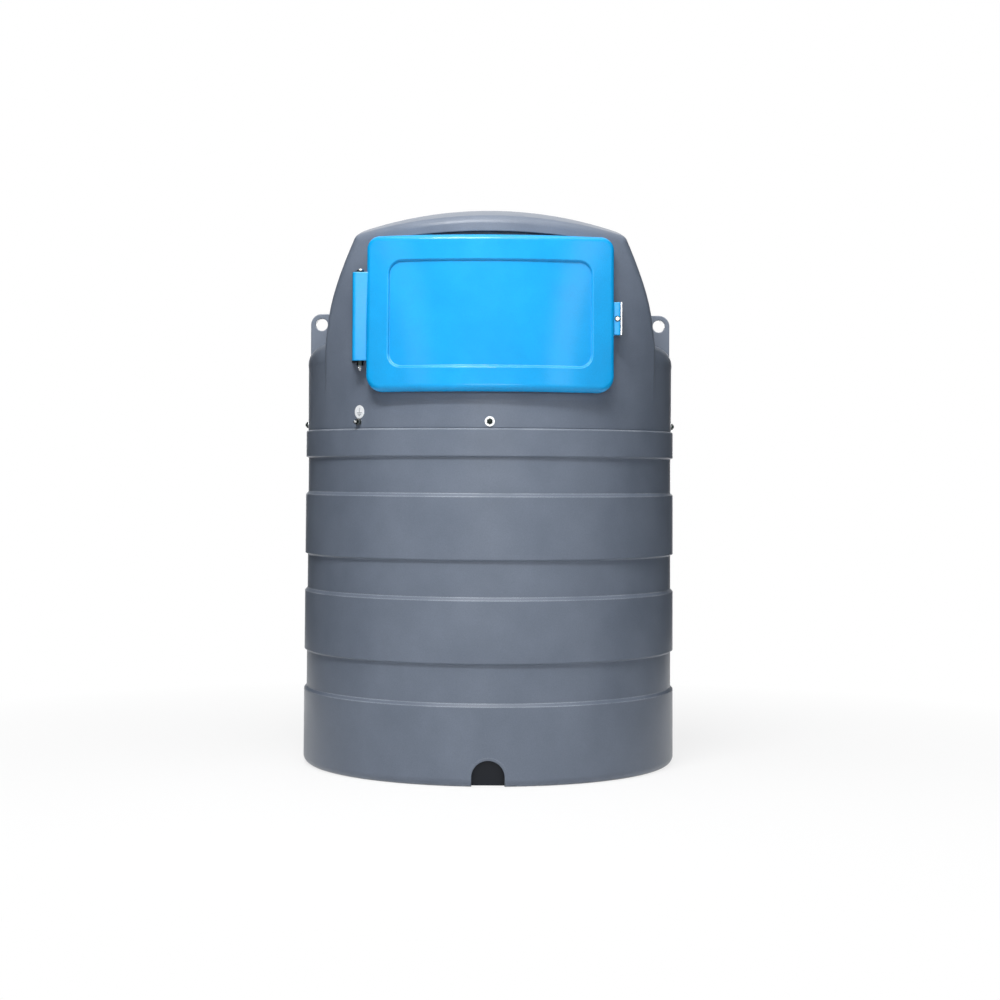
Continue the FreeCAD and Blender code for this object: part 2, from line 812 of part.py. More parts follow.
def make_hinge_washers():
    """Plastic washers between the ears and the tab of the door."""
    thick = tab_low - hinge_low_ear - hinge_sheet - washer_play
    low = ring(ear_radius - 2.0, pin_radius + pin_clearance,
               (pin_x, pin_y, hinge_low_ear + hinge_sheet), (0, 0, 1), thick)
    high = ring(ear_radius - 2.0, pin_radius + pin_clearance,
                (pin_x, pin_y, hinge_top_ear - thick), (0, 0, 1), thick)
    return Part.makeCompound([low, high])


def make_lock_body():
    """Lock barrel pushed through the tab, with a collar in front."""
    front = lock_back_y - lock_tab_thickness
    barrel = rod(lock_body_radius, (lock_x, front, lock_z), (0, 1, 0), lock_tab_thickness)
    collar = rod(lock_collar_radius, (lock_x, front - lock_collar_height, lock_z), (0, 1, 0),
                 lock_collar_height)
    rim = [edge for edge in collar.Edges if edge.BoundBox.YMax < front - lock_collar_height + 0.1]
    body = barrel.fuse(collar.makeChamfer(1.0, rim))
    return body.cut(rod(lock_plug_radius + pin_clearance,
                        (lock_x, front - 2 * lock_collar_height, lock_z), (0, 1, 0),
                        2 * lock_tab_thickness))


def make_lock_cam():
    """Plug with its key slot in front and the cam behind the tab, pointing down when open."""
    front = lock_back_y - lock_tab_thickness - lock_collar_height
    behind = lock_back_y + moulding_clearance
    plug = rod(lock_plug_radius, (lock_x, front, lock_z), (0, 1, 0), behind + cam_thickness - front)
    slot = block(lock_x - 0.8, lock_x + 0.8, front - 1.0, front + 3.0, lock_z - 3.5, lock_z + 3.5)
    arm = block(lock_x - cam_half_width, lock_x + cam_half_width, behind, behind + cam_thickness,
                lock_z - cam_length, lock_z)
    eye = rod(cam_half_width, (lock_x, behind, lock_z), (0, 1, 0), cam_thickness)
    return plug.cut(slot).multiFuse([arm, eye]).removeSplitter()


def make_lock_keeper():
    """Folded steel keeper: a leg screwed to the hood and a flange with a slot for the cam."""
    low = lock_z - keeper_half_height
    high = lock_z + keeper_half_height
    leg = block(keeper_x - keeper_width, keeper_x + keeper_sheet, keeper_seat_y - keeper_sheet,
                keeper_seat_y, low, high)
    flange = block(keeper_x, keeper_x + keeper_sheet, keeper_front_y, keeper_seat_y, low, high)
    behind = lock_back_y + moulding_clearance
    slot = block(keeper_x - 1.0, keeper_x + keeper_sheet + 1.0, behind - 2.0,
                 behind + cam_thickness + 2.0, lock_z - cam_length - 2.0,
                 lock_z + cam_half_width + 2.0)
    keeper = leg.fuse(flange).cut(slot)
    for screw in keeper_screws(screw_form):
        keeper = keeper.cut(screw)
    return keeper.removeSplitter()


def keeper_screws(form):
    screws = []
    for x, z in keeper_screw_places():
        screw = form(screw_radius, screw_length)
        screw.translate(V(x, keeper_seat_y - keeper_sheet, z))
        screws.append(screw)
    return screws


# Fasteners in the rim and the earth point

def along_radial(shape, angle, distance, z):
    """Place a shape drawn along +X from the origin on a radial line of the tank."""
    shape = shape.copy()
    shape.rotate(V(0, 0, 0), V(0, 0, 1), angle - 90.0)
    shape.translate(radial(angle) * distance + V(0, 0, z))
    return shape


def make_rim_washers():
    washer = ring(rim_washer_radius, rim_bolt_radius + pin_clearance, (0, 0, 0), (1, 0, 0),
                  rim_washer_thickness)
    return Part.makeCompound([along_radial(washer, angle, skirt_radius, rim_screw_z)
                              for angle in rim_screw_angles])


def make_rim_bolts():
    """Button-head bolts whose heads lie inside the lip of the tub."""
    length = skirt_radius - lip_inner + rim_washer_thickness + rim_nut_height
    shank = rod(rim_bolt_radius, (0, 0, 0), (1, 0, 0), length)
    head = rod(rim_washer_radius * 0.6, (-rim_head_height, 0, 0), (1, 0, 0), rim_head_height)
    bolt = shank.fuse(head).removeSplitter()
    seat = lip_inner - rim_head_gap
    return Part.makeCompound([along_radial(bolt, angle, seat, rim_screw_z)
                              for angle in rim_screw_angles])


def make_rim_nuts():
    """Domed nuts on the outside of the skirt."""
    base = skirt_radius + rim_washer_thickness
    nut = hexagon(rim_nut_flats, (0, 0, 0), (1, 0, 0), rim_nut_height)
    dome = rod(rim_dome_radius, (rim_nut_height, 0, 0), (1, 0, 0), rim_dome_height)
    crown = [edge for edge in dome.Edges if edge.BoundBox.XMin > rim_nut_height + rim_dome_height - 0.1]
    dome = dome.makeFillet(rim_dome_height * 0.8, crown)
    bore = rod(rim_bolt_radius, (-1.0, 0, 0), (1, 0, 0), rim_nut_height + 1.0)
    nut = nut.fuse(dome).cut(bore).removeSplitter()
    return Part.makeCompound([along_radial(nut, angle, base, rim_screw_z)
                              for angle in rim_screw_angles])


def make_earth_stud():
    length = skirt_radius - lip_inner + earth_reach
    stud = rod(earth_stud_radius, (0, 0, 0), (1, 0, 0), length)
    tip = [edge for edge in stud.Edges if edge.BoundBox.XMin > length - 0.1]
    stud = stud.makeChamfer(1.2, tip)
    head = hexagon(earth_nut_flats, (-earth_nut_height, 0, 0), (1, 0, 0), earth_nut_height)
    return along_radial(stud.fuse(head).removeSplitter(), earth_angle, lip_inner - rim_head_gap,
                        rim_screw_z)


def make_earth_washers():
    washer = ring(earth_washer_radius, earth_stud_radius + pin_clearance, (0, 0, 0), (1, 0, 0),
                  earth_washer_thickness)
    inner = along_radial(washer, earth_angle, skirt_radius, rim_screw_z)
    outer_place = skirt_radius + earth_washer_thickness + earth_nut_height
    outer = along_radial(washer, earth_angle, outer_place, rim_screw_z)
    return Part.makeCompound([inner, outer])


def make_earth_nuts():
    nuts = []
    for step in (0, 1):
        place = skirt_radius + earth_washer_thickness
        place += step * (earth_nut_height + earth_washer_thickness)
        nut = hexagon(earth_nut_flats, (0, 0, 0), (1, 0, 0), earth_nut_height)
        nut = nut.cut(rod(earth_stud_radius, (-1.0, 0, 0), (1, 0, 0), 2 * earth_nut_height))
        nuts.append(along_radial(nut, earth_angle, place, rim_screw_z))
    return Part.makeCompound(nuts)


def make_earth_label():
    """Round label stuck on the skirt above the earth stud."""
    sheet = ring(skirt_radius + label_thickness, skirt_radius, (0, 0, label_z - 2 * label_radius),
                 (0, 0, 1), 4 * label_radius)
    start = radial(earth_angle) * (skirt_radius - wall) + V(0, 0, label_z)
    cutter = Part.makeCylinder(label_radius, 4 * wall, start, radial(earth_angle))
    return sheet.common(cutter)


# The service cover and what hangs from it

def cover_screw_places():
    places = []
    for number in range(cover_screw_count):
        turn = 2.0 * math.pi * number / cover_screw_count
        places.append((cover_x + cover_screw_circle * math.cos(turn),
                       cover_y + cover_screw_circle * math.sin(turn)))
    return places


def upright(radius, x, y, z0, z1):
    return rod(radius, (x, y, z0), (0, 0, 1), z1 - z0)


def upright_ring(outer, inner, x, y, z0, z1):
    return upright(outer, x, y, z0, z1).cut(upright(inner, x, y, z0 - 1.0, z1 + 1.0))


def make_service_gasket():
    gasket = upright_ring(cover_radius, cover_opening, cover_x, cover_y, cabinet_floor, cover_low)
    for x, y in cover_screw_places():
        gasket = gasket.cut(upright(cover_screw_radius + pin_clearance, x, y, cabinet_floor - 1.0,
                                    cover_low + 1.0))
    return gasket


def make_service_cover():
    cover = upright(cover_radius, cover_x, cover_y, cover_low, cover_high)
    rim = [edge for edge in cover.Edges if edge.BoundBox.ZMin > cover_high - 0.1]
    cover = cover.makeFillet(cover_thickness / 4.0, rim)
    holes = [(lance_radius, lance_x, lance_y), (probe_radius, probe_x, probe_y),
             (vent_stem, vent_x, vent_y)]
    holes += [(cover_screw_radius, x, y) for x, y in cover_screw_places()]
    for radius, x, y in holes:
        cover = cover.cut(upright(radius + pin_clearance, x, y, cover_low - 1.0, cover_high + 1.0))
    return cover


def make_service_screws():
    screws = []
    for x, y in cover_screw_places():
        shank = upright(cover_screw_radius, x, y, cabinet_floor - wall, cover_high)
        head = hexagon(3.3 * cover_screw_radius, (x, y, cover_high), (0, 0, 1), cover_head_height)
        screws.append(shank.fuse(head).removeSplitter())
    return Part.makeCompound(screws)


def make_suction_lance():
    """Tube from the foot of the tank up to the shut-off valve, with a collar on the cover."""
    tube = upright(lance_radius, lance_x, lance_y, lance_foot, valve_low)
    collar = upright(lance_radius + 5.0, lance_x, lance_y, cover_high, cover_high + 8.0)
    tube = tube.fuse(collar).removeSplitter()
    return tube.cut(upright(lance_radius - lance_wall, lance_x, lance_y, lance_foot - 1.0,
                            valve_low + 1.0))


def make_foot_strainer():
    """Slotted basket on the foot of the suction lance."""
    low = lance_foot - lance_wall
    high = low + strainer_height
    basket = upright(strainer_radius, lance_x, lance_y, low, high)
    basket = basket.cut(upright(strainer_radius - lance_wall, lance_x, lance_y, low + lance_wall,
                                high - lance_wall))
    basket = basket.cut(upright(lance_radius + pin_clearance, lance_x, lance_y,
                                high - 2 * lance_wall, high + 1.0))
    for number in range(4):
        slot = block(-strainer_radius - 1.0, strainer_radius + 1.0, -2.5, 2.5,
                     low + 3 * lance_wall, high - 3 * lance_wall)
        slot.rotate(V(0, 0, 0), V(0, 0, 1), 45.0 * number + 22.5)
        slot.translate(V(lance_x, lance_y, 0))
        slot = slot.cut(upright(strainer_radius - lance_wall, lance_x, lance_y, low, high))
        basket = basket.cut(slot)
    return basket


def make_level_probe():
    """Rigid level probe: a rod down into the tank below a round head."""
    stem = upright(probe_radius, probe_x, probe_y, probe_foot, cover_high)
    sensor = upright(1.6 * probe_radius, probe_x, probe_y, probe_foot, probe_foot + 60.0)
    head = upright(probe_head_radius, probe_x, probe_y, cover_high, cover_high + probe_head_height)
    crown = [edge for edge in head.Edges
             if edge.BoundBox.ZMin > cover_high + probe_head_height - 0.1]
    return stem.multiFuse([sensor, head.makeFillet(5.0, crown)]).removeSplitter()


def make_tank_vent():
    """Breather: a stem through the cover below a mushroom cap."""
    top = cover_high + vent_rise
    stem = upright(vent_stem, vent_x, vent_y, cover_low - 10.0, top)
    collar = upright(vent_stem + 6.0, vent_x, vent_y, cover_high, cover_high + 6.0)
    cap = upright(vent_cap_radius, vent_x, vent_y, top - 10.0, top + 8.0)
    crown = [edge for edge in cap.Edges if edge.BoundBox.ZMin > top + 7.9]
    cap = cap.makeFillet(6.0, crown)
    cap = cap.cut(upright(vent_cap_radius - 3.0, vent_x, vent_y, top - 11.0, top))
    return stem.multiFuse([collar, cap]).removeSplitter()


# The fill point

def fill_screw_places():
    circle = (fill_flange_radius + fill_pipe_radius) / 2.0 + 3.0
    places = []
    for number in range(fill_screw_count):
        turn = 2.0 * math.pi * (number + 0.5) / fill_screw_count
        places.append((fill_x + circle * math.cos(turn), fill_y + circle * math.sin(turn)))
    return places


def make_fill_pipe():
    """Drop pipe with its flange on the cabinet floor and the neck of the fill coupling."""
    top = cabinet_floor + fill_neck_height
    pipe = upright(fill_pipe_radius, fill_x, fill_y, fill_pipe_foot, top)
    flange = upright(fill_flange_radius, fill_x, fill_y, cabinet_floor,
                     cabinet_floor + fill_flange_height)
    collar = upright(fill_collar_radius, fill_x, fill_y, top - 24.0, top)
    groove = upright_ring(fill_collar_radius + 1.0, fill_collar_radius - 3.0, fill_x, fill_y,
                          top - 14.0, top - 8.0)
    pipe = pipe.multiFuse([flange, collar]).cut(groove).removeSplitter()
    pipe = pipe.cut(upright(fill_pipe_radius - fill_pipe_wall, fill_x, fill_y, fill_pipe_foot - 1.0,
                            top + 1.0))
    for x, y in fill_screw_places():
        pipe = pipe.cut(upright(cover_screw_radius + pin_clearance, x, y, cabinet_floor - 1.0,
                                cabinet_floor + fill_flange_height + 1.0))
    return pipe


def make_fill_screws():
    screws = []
    top = cabinet_floor + fill_flange_height
    for x, y in fill_screw_places():
        shank = upright(cover_screw_radius, x, y, cabinet_floor - wall, top)
        head = hexagon(3.3 * cover_screw_radius, (x, y, top), (0, 0, 1), cover_head_height)
        screws.append(shank.fuse(head).removeSplitter())
    return Part.makeCompound(screws)


def make_fill_cap():
    """Dust cap that drops over the fill coupling."""
    low = cabinet_floor + fill_neck_height + cap_gap + cap_top - cap_height
    cap = upright(cap_radius, fill_x, fill_y, low, low + cap_height)
    crown = [edge for edge in cap.Edges if edge.BoundBox.ZMin > low + cap_height - 0.1]
    cap = cap.makeFillet(3.0, crown)
    cap = cap.cut(upright(fill_collar_radius + cap_gap, fill_x, fill_y, low - 1.0,
                          low + cap_height - cap_top))
    for number in range(12):
        turn = 2.0 * math.pi * number / 12
        cap = cap.cut(upright(3.0, fill_x + (cap_radius + 1.0) * math.cos(turn),
                              fill_y + (cap_radius + 1.0) * math.sin(turn), low - 1.0,
                              low + cap_height - cap_top))
    return cap


# The dispensing equipment

def plate_screw_places():
    inset = 2 * plate_corner
    return [(x, z) for x in (inset - plate_half_width, plate_half_width - inset)
            for z in (plate_low + inset, plate_high - inset)]


def back_screw(form, x, z):
    screw = form(screw_radius, screw_length)
    screw.translate(V(x, plate_front, z))
    return screw


def make_mounting_plate():
    plate = rounded_prism(-plate_half_width, plate_half_width, plate_low, plate_high, plate_corner,
                          plate_front, cabinet_back)
    for x, z in plate_screw_places():
        plate = plate.cut(back_screw(screw_form, x, z))
    return plate


def bent_pipe(points, radius, bend, hollow):
    """Pipe along straight runs joined by tangent arcs; hollow is its bore radius or 0."""
    edges = []
    start = V(*points[0])
    for before, corner, after in zip(points, points[1:], points[2:]):
        corner = V(*corner)
        back = (V(*before) - corner).normalize()
        ahead = (V(*after) - corner).normalize()
        half = back.getAngle(ahead) / 2.0
        reach = bend / math.tan(half)
        centre = corner + (back + ahead).normalize() * (bend / math.sin(half))
        middle = centre + (corner - centre).normalize() * bend
        first = corner + back * reach
        last = corner + ahead * reach
        edges.append(Part.makeLine(start, first))
        edges.append(Part.Arc(first, middle, last).toShape())
        start = last
    edges.append(Part.makeLine(start, V(*points[-1])))
    path = Part.Wire(edges)
    direction = V(*points[1]) - V(*points[0])
    pipe = swept(path, points[0], direction, radius)
    if hollow > 0:
        pipe = pipe.cut(swept(path, points[0], direction, hollow))
    return pipe


def swept(path, start, direction, radius):
    circle = Part.Wire([Part.makeCircle(radius, V(*start), direction)])
    return path.makePipeShell([circle], True, False)


def make_suction_pipe():
    """Bent pipe from the shut-off valve to the inlet under the pump head."""
    rise = suction_turn_z
    points = [(lance_x, lance_y, valve_high), (lance_x, lance_y, rise),
              (head_x, line_y, rise), (head_x, line_y, line_z - head_radius - port_length)]
    return bent_pipe(points, pipe_radius, bend_radius, pipe_radius - pipe_wall)


def make_valve_body():
    """Ball valve on top of the lance: a barrel with hexagon ends and a stem in front."""
    barrel = upright(valve_radius, lance_x, lance_y, valve_low + 10.0, valve_high - 10.0)
    low = hexagon(2 * valve_radius - 4.0, (lance_x, lance_y, valve_low), (0, 0, 1), 12.0)
    high = hexagon(2 * valve_radius - 4.0, (lance_x, lance_y, valve_high - 12.0), (0, 0, 1), 12.0)
    body = barrel.multiFuse([low, high]).removeSplitter()
    neck = rod(10.0, (lance_x, lance_y, valve_z), (0, -1, 0), valve_radius + 6.0)
    body = body.fuse(neck).removeSplitter()
    bore = upright(pipe_radius - pipe_wall, lance_x, lance_y, valve_low - 1.0, valve_high + 1.0)
    seat = rod(valve_stem_radius + pin_clearance, (lance_x, lance_y - 8.0, valve_z), (0, -1, 0),
               valve_radius + 20.0)
    return body.cut(bore).cut(seat)


def make_valve_handle():
    """Stem and lever of the ball valve; along the pipe it is open."""
    front = lance_y - valve_radius - 6.0 - cap_gap
    root = lance_y - 10.0
    stem = rod(valve_stem_radius, (lance_x, root, valve_z), (0, -1, 0), root - front)
    lever = block(lance_x - handle_width / 2.0, lance_x + handle_width / 2.0,
                  front - handle_sheet, front, valve_z - handle_width / 2.0,
                  valve_z + handle_length)
    ends = [edge for edge in lever.Edges if abs(edge.BoundBox.YLength - handle_sheet) < 0.1
            and edge.BoundBox.ZLength < 0.1]
    lever = lever.makeFillet(handle_width / 2.0 - 0.5, ends)
    nut = hexagon(10.0, (lance_x, front - handle_sheet, valve_z), (0, -1, 0), 4.0)
    return stem.multiFuse([lever, nut]).removeSplitter()


def make_pump_head():
    """Cast pump head with an inlet port below and an outlet port at the left."""
    body = rod(head_radius, (head_x - head_half, line_y, line_z), (1, 0, 0), 2 * head_half)
    rims = [edge for edge in body.Edges if edge.BoundBox.XLength < 0.1]
    body = body.makeFillet(5.0, rims)
    inlet = upright(port_radius, head_x, line_y, line_z - head_radius - port_length, line_z)
    outlet = rod(port_radius, (head_x - head_half - port_length, line_y, line_z), (1, 0, 0),
                 head_half + port_length)
    back = block(head_x - 20.0, head_x + 20.0, line_y, plate_front, line_z - 30.0, line_z + 30.0)
    body = body.multiFuse([inlet, outlet, back]).removeSplitter()
    bore = pipe_radius - pipe_wall
    body = body.cut(upright(bore, head_x, line_y, line_z - 2 * head_radius, line_z))
    return body.cut(rod(bore, (head_x - 2 * head_radius, line_y, line_z), (1, 0, 0),
                        2 * head_radius))


def make_pump_motor():
    """Motor barrel with cooling ribs and a foot on the mounting plate."""
    start = head_x + head_half
    barrel = rod(motor_radius - 5.0, (start, line_y, line_z), (1, 0, 0), motor_length)
    end = start + motor_length
    parts = [barrel]
    cover = rod(motor_radius, (end - 34.0, line_y, line_z), (1, 0, 0), 34.0)
    rim = [edge for edge in cover.Edges if edge.BoundBox.XMin > end - 0.1]
    parts.append(cover.makeFillet(12.0, rim))
    parts.append(rod(motor_radius, (start, line_y, line_z), (1, 0, 0), 12.0))
    for number in range(14):
        fin = block(start + 10.0, end - 30.0, -1.5, 1.5, motor_radius - 8.0, motor_radius)
        fin.rotate(V(0, 0, 0), V(1, 0, 0), -130.0 + 20.0 * number)
        fin.translate(V(0, line_y, line_z))
        parts.append(fin)
    parts.append(block(start + 40.0, end - 50.0, line_y, plate_front, line_z - 34.0,
                       line_z + 34.0))
    return fused(parts)


def make_terminal_box():
    """Terminal box on the motor, open in front for the rocker switch."""
    x = head_x + head_half + motor_length / 2.0
    z = line_z + motor_radius
    box = rounded_prism(x - box_half_width, x + box_half_width, z, z + box_height, 5.0,
                        line_y - box_depth / 2.0, line_y + box_depth / 2.0)
    front = line_y - box_depth / 2.0
    half = rocker_half_width + moulding_clearance
    tall = rocker_half_height + moulding_clearance
    pocket = block(x - half, x + half, front - 1.0, front + 12.0,
                   rocker_z - tall, rocker_z + tall)
    return box.cut(pocket).cut(gland_hole())


def make_rocker():
    """Rocker of the pump switch in its off position, tilted about its cross pin."""
    front = line_y - box_depth / 2.0
    x = rocker_x - rocker_half_width
    half = rocker_half_height - 0.7
    points = [V(x, front + 4.5, rocker_z - half), V(x, front - 1.0, rocker_z - half),
              V(x, front - 0.3, rocker_z), V(x, front - 1.0, rocker_z + half),
              V(x, front + 4.5, rocker_z + half)]
    face = Part.Face(Part.makePolygon(points + points[:1]))
    rocker = face.extrude(V(2 * rocker_half_width, 0, 0))
    rocker.rotate(V(x, front + rocker_pin_depth, rocker_z), V(1, 0, 0), -rocker_turn / 2.0)
    return rocker


def make_meter_body():
    """Flow meter: a moulded housing with ports at both sides and a sunk face."""
    front = line_y - meter_half_depth
    body = rounded_prism(meter_x - meter_half_width, meter_x + meter_half_width,
                         line_z - meter_half_height, line_z + meter_half_height, meter_corner,
                         front, line_y + meter_half_depth - 6.0)
    rim = [edge for edge in body.Edges if edge.BoundBox.YMax < front + 0.1]
    body = body.makeFillet(4.0, rim)
    ports = rod(port_radius, (meter_x - meter_half_width - port_length, line_y, line_z),
                (1, 0, 0), 2 * (meter_half_width + port_length))
    foot = block(meter_x - 20.0, meter_x + 20.0, line_y, plate_front, line_z - 20.0,
                 line_z + 20.0)
    body = body.multiFuse([ports, foot]).removeSplitter()
    window = block(meter_x - meter_half_width + 12.0, meter_x + meter_half_width - 12.0,
                   front - 1.0, front + meter_sunk, line_z - 2.0, line_z + meter_half_height - 12.0)
    body = body.cut(window)
    for x in button_places():
        body = body.cut(rod(button_radius + moulding_clearance, (x, front - 1.0, button_z),
                            (0, 1, 0), 9.0))
    bore = pipe_radius - pipe_wall
    line = rod(bore, (meter_x - 2 * meter_half_width, line_y, line_z), (1, 0, 0),
               4 * meter_half_width)
    return body.cut(line)


def button_places():
    return [meter_x - button_spacing / 2.0, meter_x + button_spacing / 2.0]


def make_meter_window():
    """Clear window over the meter's display."""
    front = line_y - meter_half_depth
    return block(meter_x - meter_half_width + 12.0, meter_x + meter_half_width - 12.0,
                 front + 1.0, front + meter_sunk, line_z - 2.0, line_z + meter_half_height - 12.0)


def make_meter_button(x):
    front = line_y - meter_half_depth
    button = rod(button_radius, (x, front - 2.5, button_z), (0, 1, 0), 8.0)
    rim = [edge for edge in button.Edges if edge.BoundBox.YMax < front - 2.4]
    return button.makeFillet(1.5, rim)


def make_transfer_pipe():
    """Nipple from the outlet of the pump to the meter."""
    start = meter_x + meter_half_width + port_length
    end = head_x - head_half - port_length
    return ring(pipe_radius, pipe_radius - pipe_wall, (start, line_y, line_z), (1, 0, 0),
                end - start)


def make_hose_tail():
    """Elbow from the meter that ends in a barbed tail for the delivery hose."""
    start = meter_x - meter_half_width - port_length
    corner = start - 34.0
    elbow = bent_pipe([(start, line_y, line_z), (corner, line_y, line_z),
                       (corner, line_y, line_z - tail_drop)], pipe_radius, bend_radius, 0)
    barbs = []
    for number in range(4):
        low = line_z - tail_drop + 9.0 * number
        barbs.append(Part.makeCone(pipe_radius - 0.5, pipe_radius + 2.0, 8.0,
                                   V(corner, line_y, low), V(0, 0, 1)))
    tail = elbow.multiFuse(barbs).removeSplitter()
    inner = bent_pipe([(start, line_y, line_z), (corner, line_y, line_z),
                       (corner, line_y, line_z - tail_drop)], pipe_radius - pipe_wall, bend_radius,
                      0)
    return tail.cut(inner)


def make_nozzle_holster():
    """Leaning cup that holds the dispensing nozzle, on a foot against the plate."""
    lean = math.radians(holster_lean)
    axis = V(0, -math.sin(lean), math.cos(lean))
    reach = holster_radius + 14.0
    start = V(holster_x, plate_front - reach, holster_z - holster_length)
    cup = Part.makeCylinder(holster_radius, holster_length, start, axis)
    foot = block(holster_x - 24.0, holster_x + 24.0, plate_front - 4.0, plate_front,
                 holster_z - holster_length - 10.0, holster_z - 10.0)
    web = block(holster_x - 5.0, holster_x + 5.0, plate_front - reach, plate_front,
                holster_z - holster_length + 12.0, holster_z - 24.0)
    whole = cup.multiFuse([foot, web]).removeSplitter()
    bore = Part.makeCylinder(holster_radius - holster_wall, holster_length,
                             start + axis * holster_wall, axis)
    return whole.cut(bore)


def make_cable_gland():
    """Gland on the side of the terminal box, for the mains cable."""
    x = rocker_x + box_half_width
    nut = hexagon(2 * gland_radius, (x, line_y, rocker_z), (1, 0, 0), gland_nut)
    dome = rod(gland_radius - 1.5, (x + gland_nut, line_y, rocker_z), (1, 0, 0), gland_dome)
    rim = [edge for edge in dome.Edges if edge.BoundBox.XMin > x + gland_nut + gland_dome - 0.1]
    dome = dome.makeFillet(3.0, rim)
    return nut.fuse(dome).cut(gland_hole())


def gland_hole():
    """Way of the mains cable through the gland and the side of the terminal box."""
    x = rocker_x + box_half_width - 2 * gland_bore
    return rod(gland_bore, (x, line_y, rocker_z), (1, 0, 0), 4 * gland_radius)


def tank_openings():
    """Holes in the moulding for what passes through it or is screwed to it."""
    holes = [upright(cover_opening, cover_x, cover_y, cabinet_floor - 2 * wall,
                     cabinet_floor + 1.0),
             upright(fill_pipe_radius + pin_clearance, fill_x, fill_y,
                     cabinet_floor - 2 * wall, cabinet_floor + 1.0)]
    for x, y in cover_screw_places() + fill_screw_places():
        holes.append(upright(cover_screw_radius + pin_clearance, x, y, cabinet_floor - wall - 1.0,
                             cabinet_floor + 1.0))
    depth = screw_length - hinge_sheet + moulding_clearance
    holes += hinge_screw_holes(2 * (screw_radius + pin_clearance), depth)
    for x, z in keeper_screw_places():
        holes.append(rod(screw_radius + pin_clearance, (x, keeper_seat_y - 1.0, z), (0, 1, 0),
                         screw_length - keeper_sheet + 1.0 + moulding_clearance))
    for x, z in plate_screw_places():
        holes.append(rod(screw_radius + pin_clearance, (x, cabinet_back - 1.0, z), (0, 1, 0),
                         screw_length - plate_sheet + 1.0 + moulding_clearance))
    return holes


def main():
    save("bund_tub", make_bund_tub())
    save("inner_tank", make_inner_tank())
    save("cabinet_door", make_cabinet_door())
    save("door_seal", make_door_seal())
    save("hinge_bracket", make_hinge_bracket())
    save("hinge_screws", Part.makeCompound(hinge_screws(countersunk_screw)))
    save("hinge_pin", make_hinge_pin())
    save("hinge_nut", make_hinge_nut())
    save("hinge_washers", make_hinge_washers())
    save("lock_body", make_lock_body())
    save("lock_cam", make_lock_cam())
    save("lock_keeper", make_lock_keeper())
    save("keeper_screws", Part.makeCompound(keeper_screws(countersunk_screw)))
    save("rim_washers", make_rim_washers())
    save("rim_bolts", make_rim_bolts())
    save("rim_nuts", make_rim_nuts())
    save("earth_stud", make_earth_stud())
    save("earth_washers", make_earth_washers())
    save("earth_nuts", make_earth_nuts())
    save("earth_label", make_earth_label())
    save("service_gasket", make_service_gasket())
    save("service_cover", make_service_cover())
    save("service_screws", make_service_screws())
    save("suction_lance", make_suction_lance())
    save("foot_strainer", make_foot_strainer())
    save("level_probe", make_level_probe())
    save("tank_vent", make_tank_vent())
    save("fill_pipe", make_fill_pipe())
    save("fill_screws", make_fill_screws())
    save("fill_cap", make_fill_cap())
    save("mounting_plate", make_mounting_plate())
    plate_screws = [back_screw(countersunk_screw, x, z) for x, z in plate_screw_places()]
    save("plate_screws", Part.makeCompound(plate_screws))
    save("valve_body", make_valve_body())
    save("valve_handle", make_valve_handle())
    save("suction_pipe", make_suction_pipe())
    save("pump_head", make_pump_head())
    save("pump_motor", make_pump_motor())
    save("terminal_box", make_terminal_box())
    save("switch_rocker", make_rocker())
    save("transfer_pipe", make_transfer_pipe())
    save("meter_body", make_meter_body())
    save("meter_window", make_meter_window())
    for name, x in zip(("meter_button_left", "meter_button_right"), button_places()):
        save(name, make_meter_button(x))
    save("hose_tail", make_hose_tail())
    save("nozzle_holster", make_nozzle_holster())
    save("cable_gland", make_cable_gland())


main()
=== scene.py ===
# %% [markdown]
# This file dresses a imported CAD model of a storage tank for diesel exhaust fluid and sets it up
# for one studio picture. The CAD model gives every piece at its real size, in metres, so
# nothing is placed by eye here: each step reads the size that it needs from the model.
#
# The first cell loads the model. Its box is kept at once.

# %% Load the model
import bpy
import bmesh
import json
import math
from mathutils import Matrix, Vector


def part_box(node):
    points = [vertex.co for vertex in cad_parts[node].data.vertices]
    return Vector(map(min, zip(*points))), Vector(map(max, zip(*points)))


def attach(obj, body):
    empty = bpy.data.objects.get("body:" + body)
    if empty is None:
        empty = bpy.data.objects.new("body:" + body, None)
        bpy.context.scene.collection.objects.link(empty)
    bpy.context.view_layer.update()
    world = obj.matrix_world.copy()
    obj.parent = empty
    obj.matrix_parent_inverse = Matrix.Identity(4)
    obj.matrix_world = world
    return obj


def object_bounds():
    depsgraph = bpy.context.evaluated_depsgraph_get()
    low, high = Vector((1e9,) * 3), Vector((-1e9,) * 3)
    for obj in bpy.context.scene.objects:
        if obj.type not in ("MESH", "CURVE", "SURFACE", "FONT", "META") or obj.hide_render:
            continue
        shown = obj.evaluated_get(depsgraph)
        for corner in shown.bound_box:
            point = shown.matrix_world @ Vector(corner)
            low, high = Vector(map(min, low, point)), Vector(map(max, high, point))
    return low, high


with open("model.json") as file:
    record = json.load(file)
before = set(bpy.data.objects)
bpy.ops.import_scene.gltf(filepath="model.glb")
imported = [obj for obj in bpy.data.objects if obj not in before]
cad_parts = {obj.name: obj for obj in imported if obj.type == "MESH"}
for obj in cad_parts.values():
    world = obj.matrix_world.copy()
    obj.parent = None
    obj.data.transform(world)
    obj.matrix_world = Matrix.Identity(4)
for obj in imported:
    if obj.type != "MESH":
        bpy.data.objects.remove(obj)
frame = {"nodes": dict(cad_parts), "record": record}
cad_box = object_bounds()
cad_nodes = frame["nodes"]
print("loaded", len(cad_nodes), "pieces; height", round(cad_box[1].z - cad_box[0].z, 3), "m")

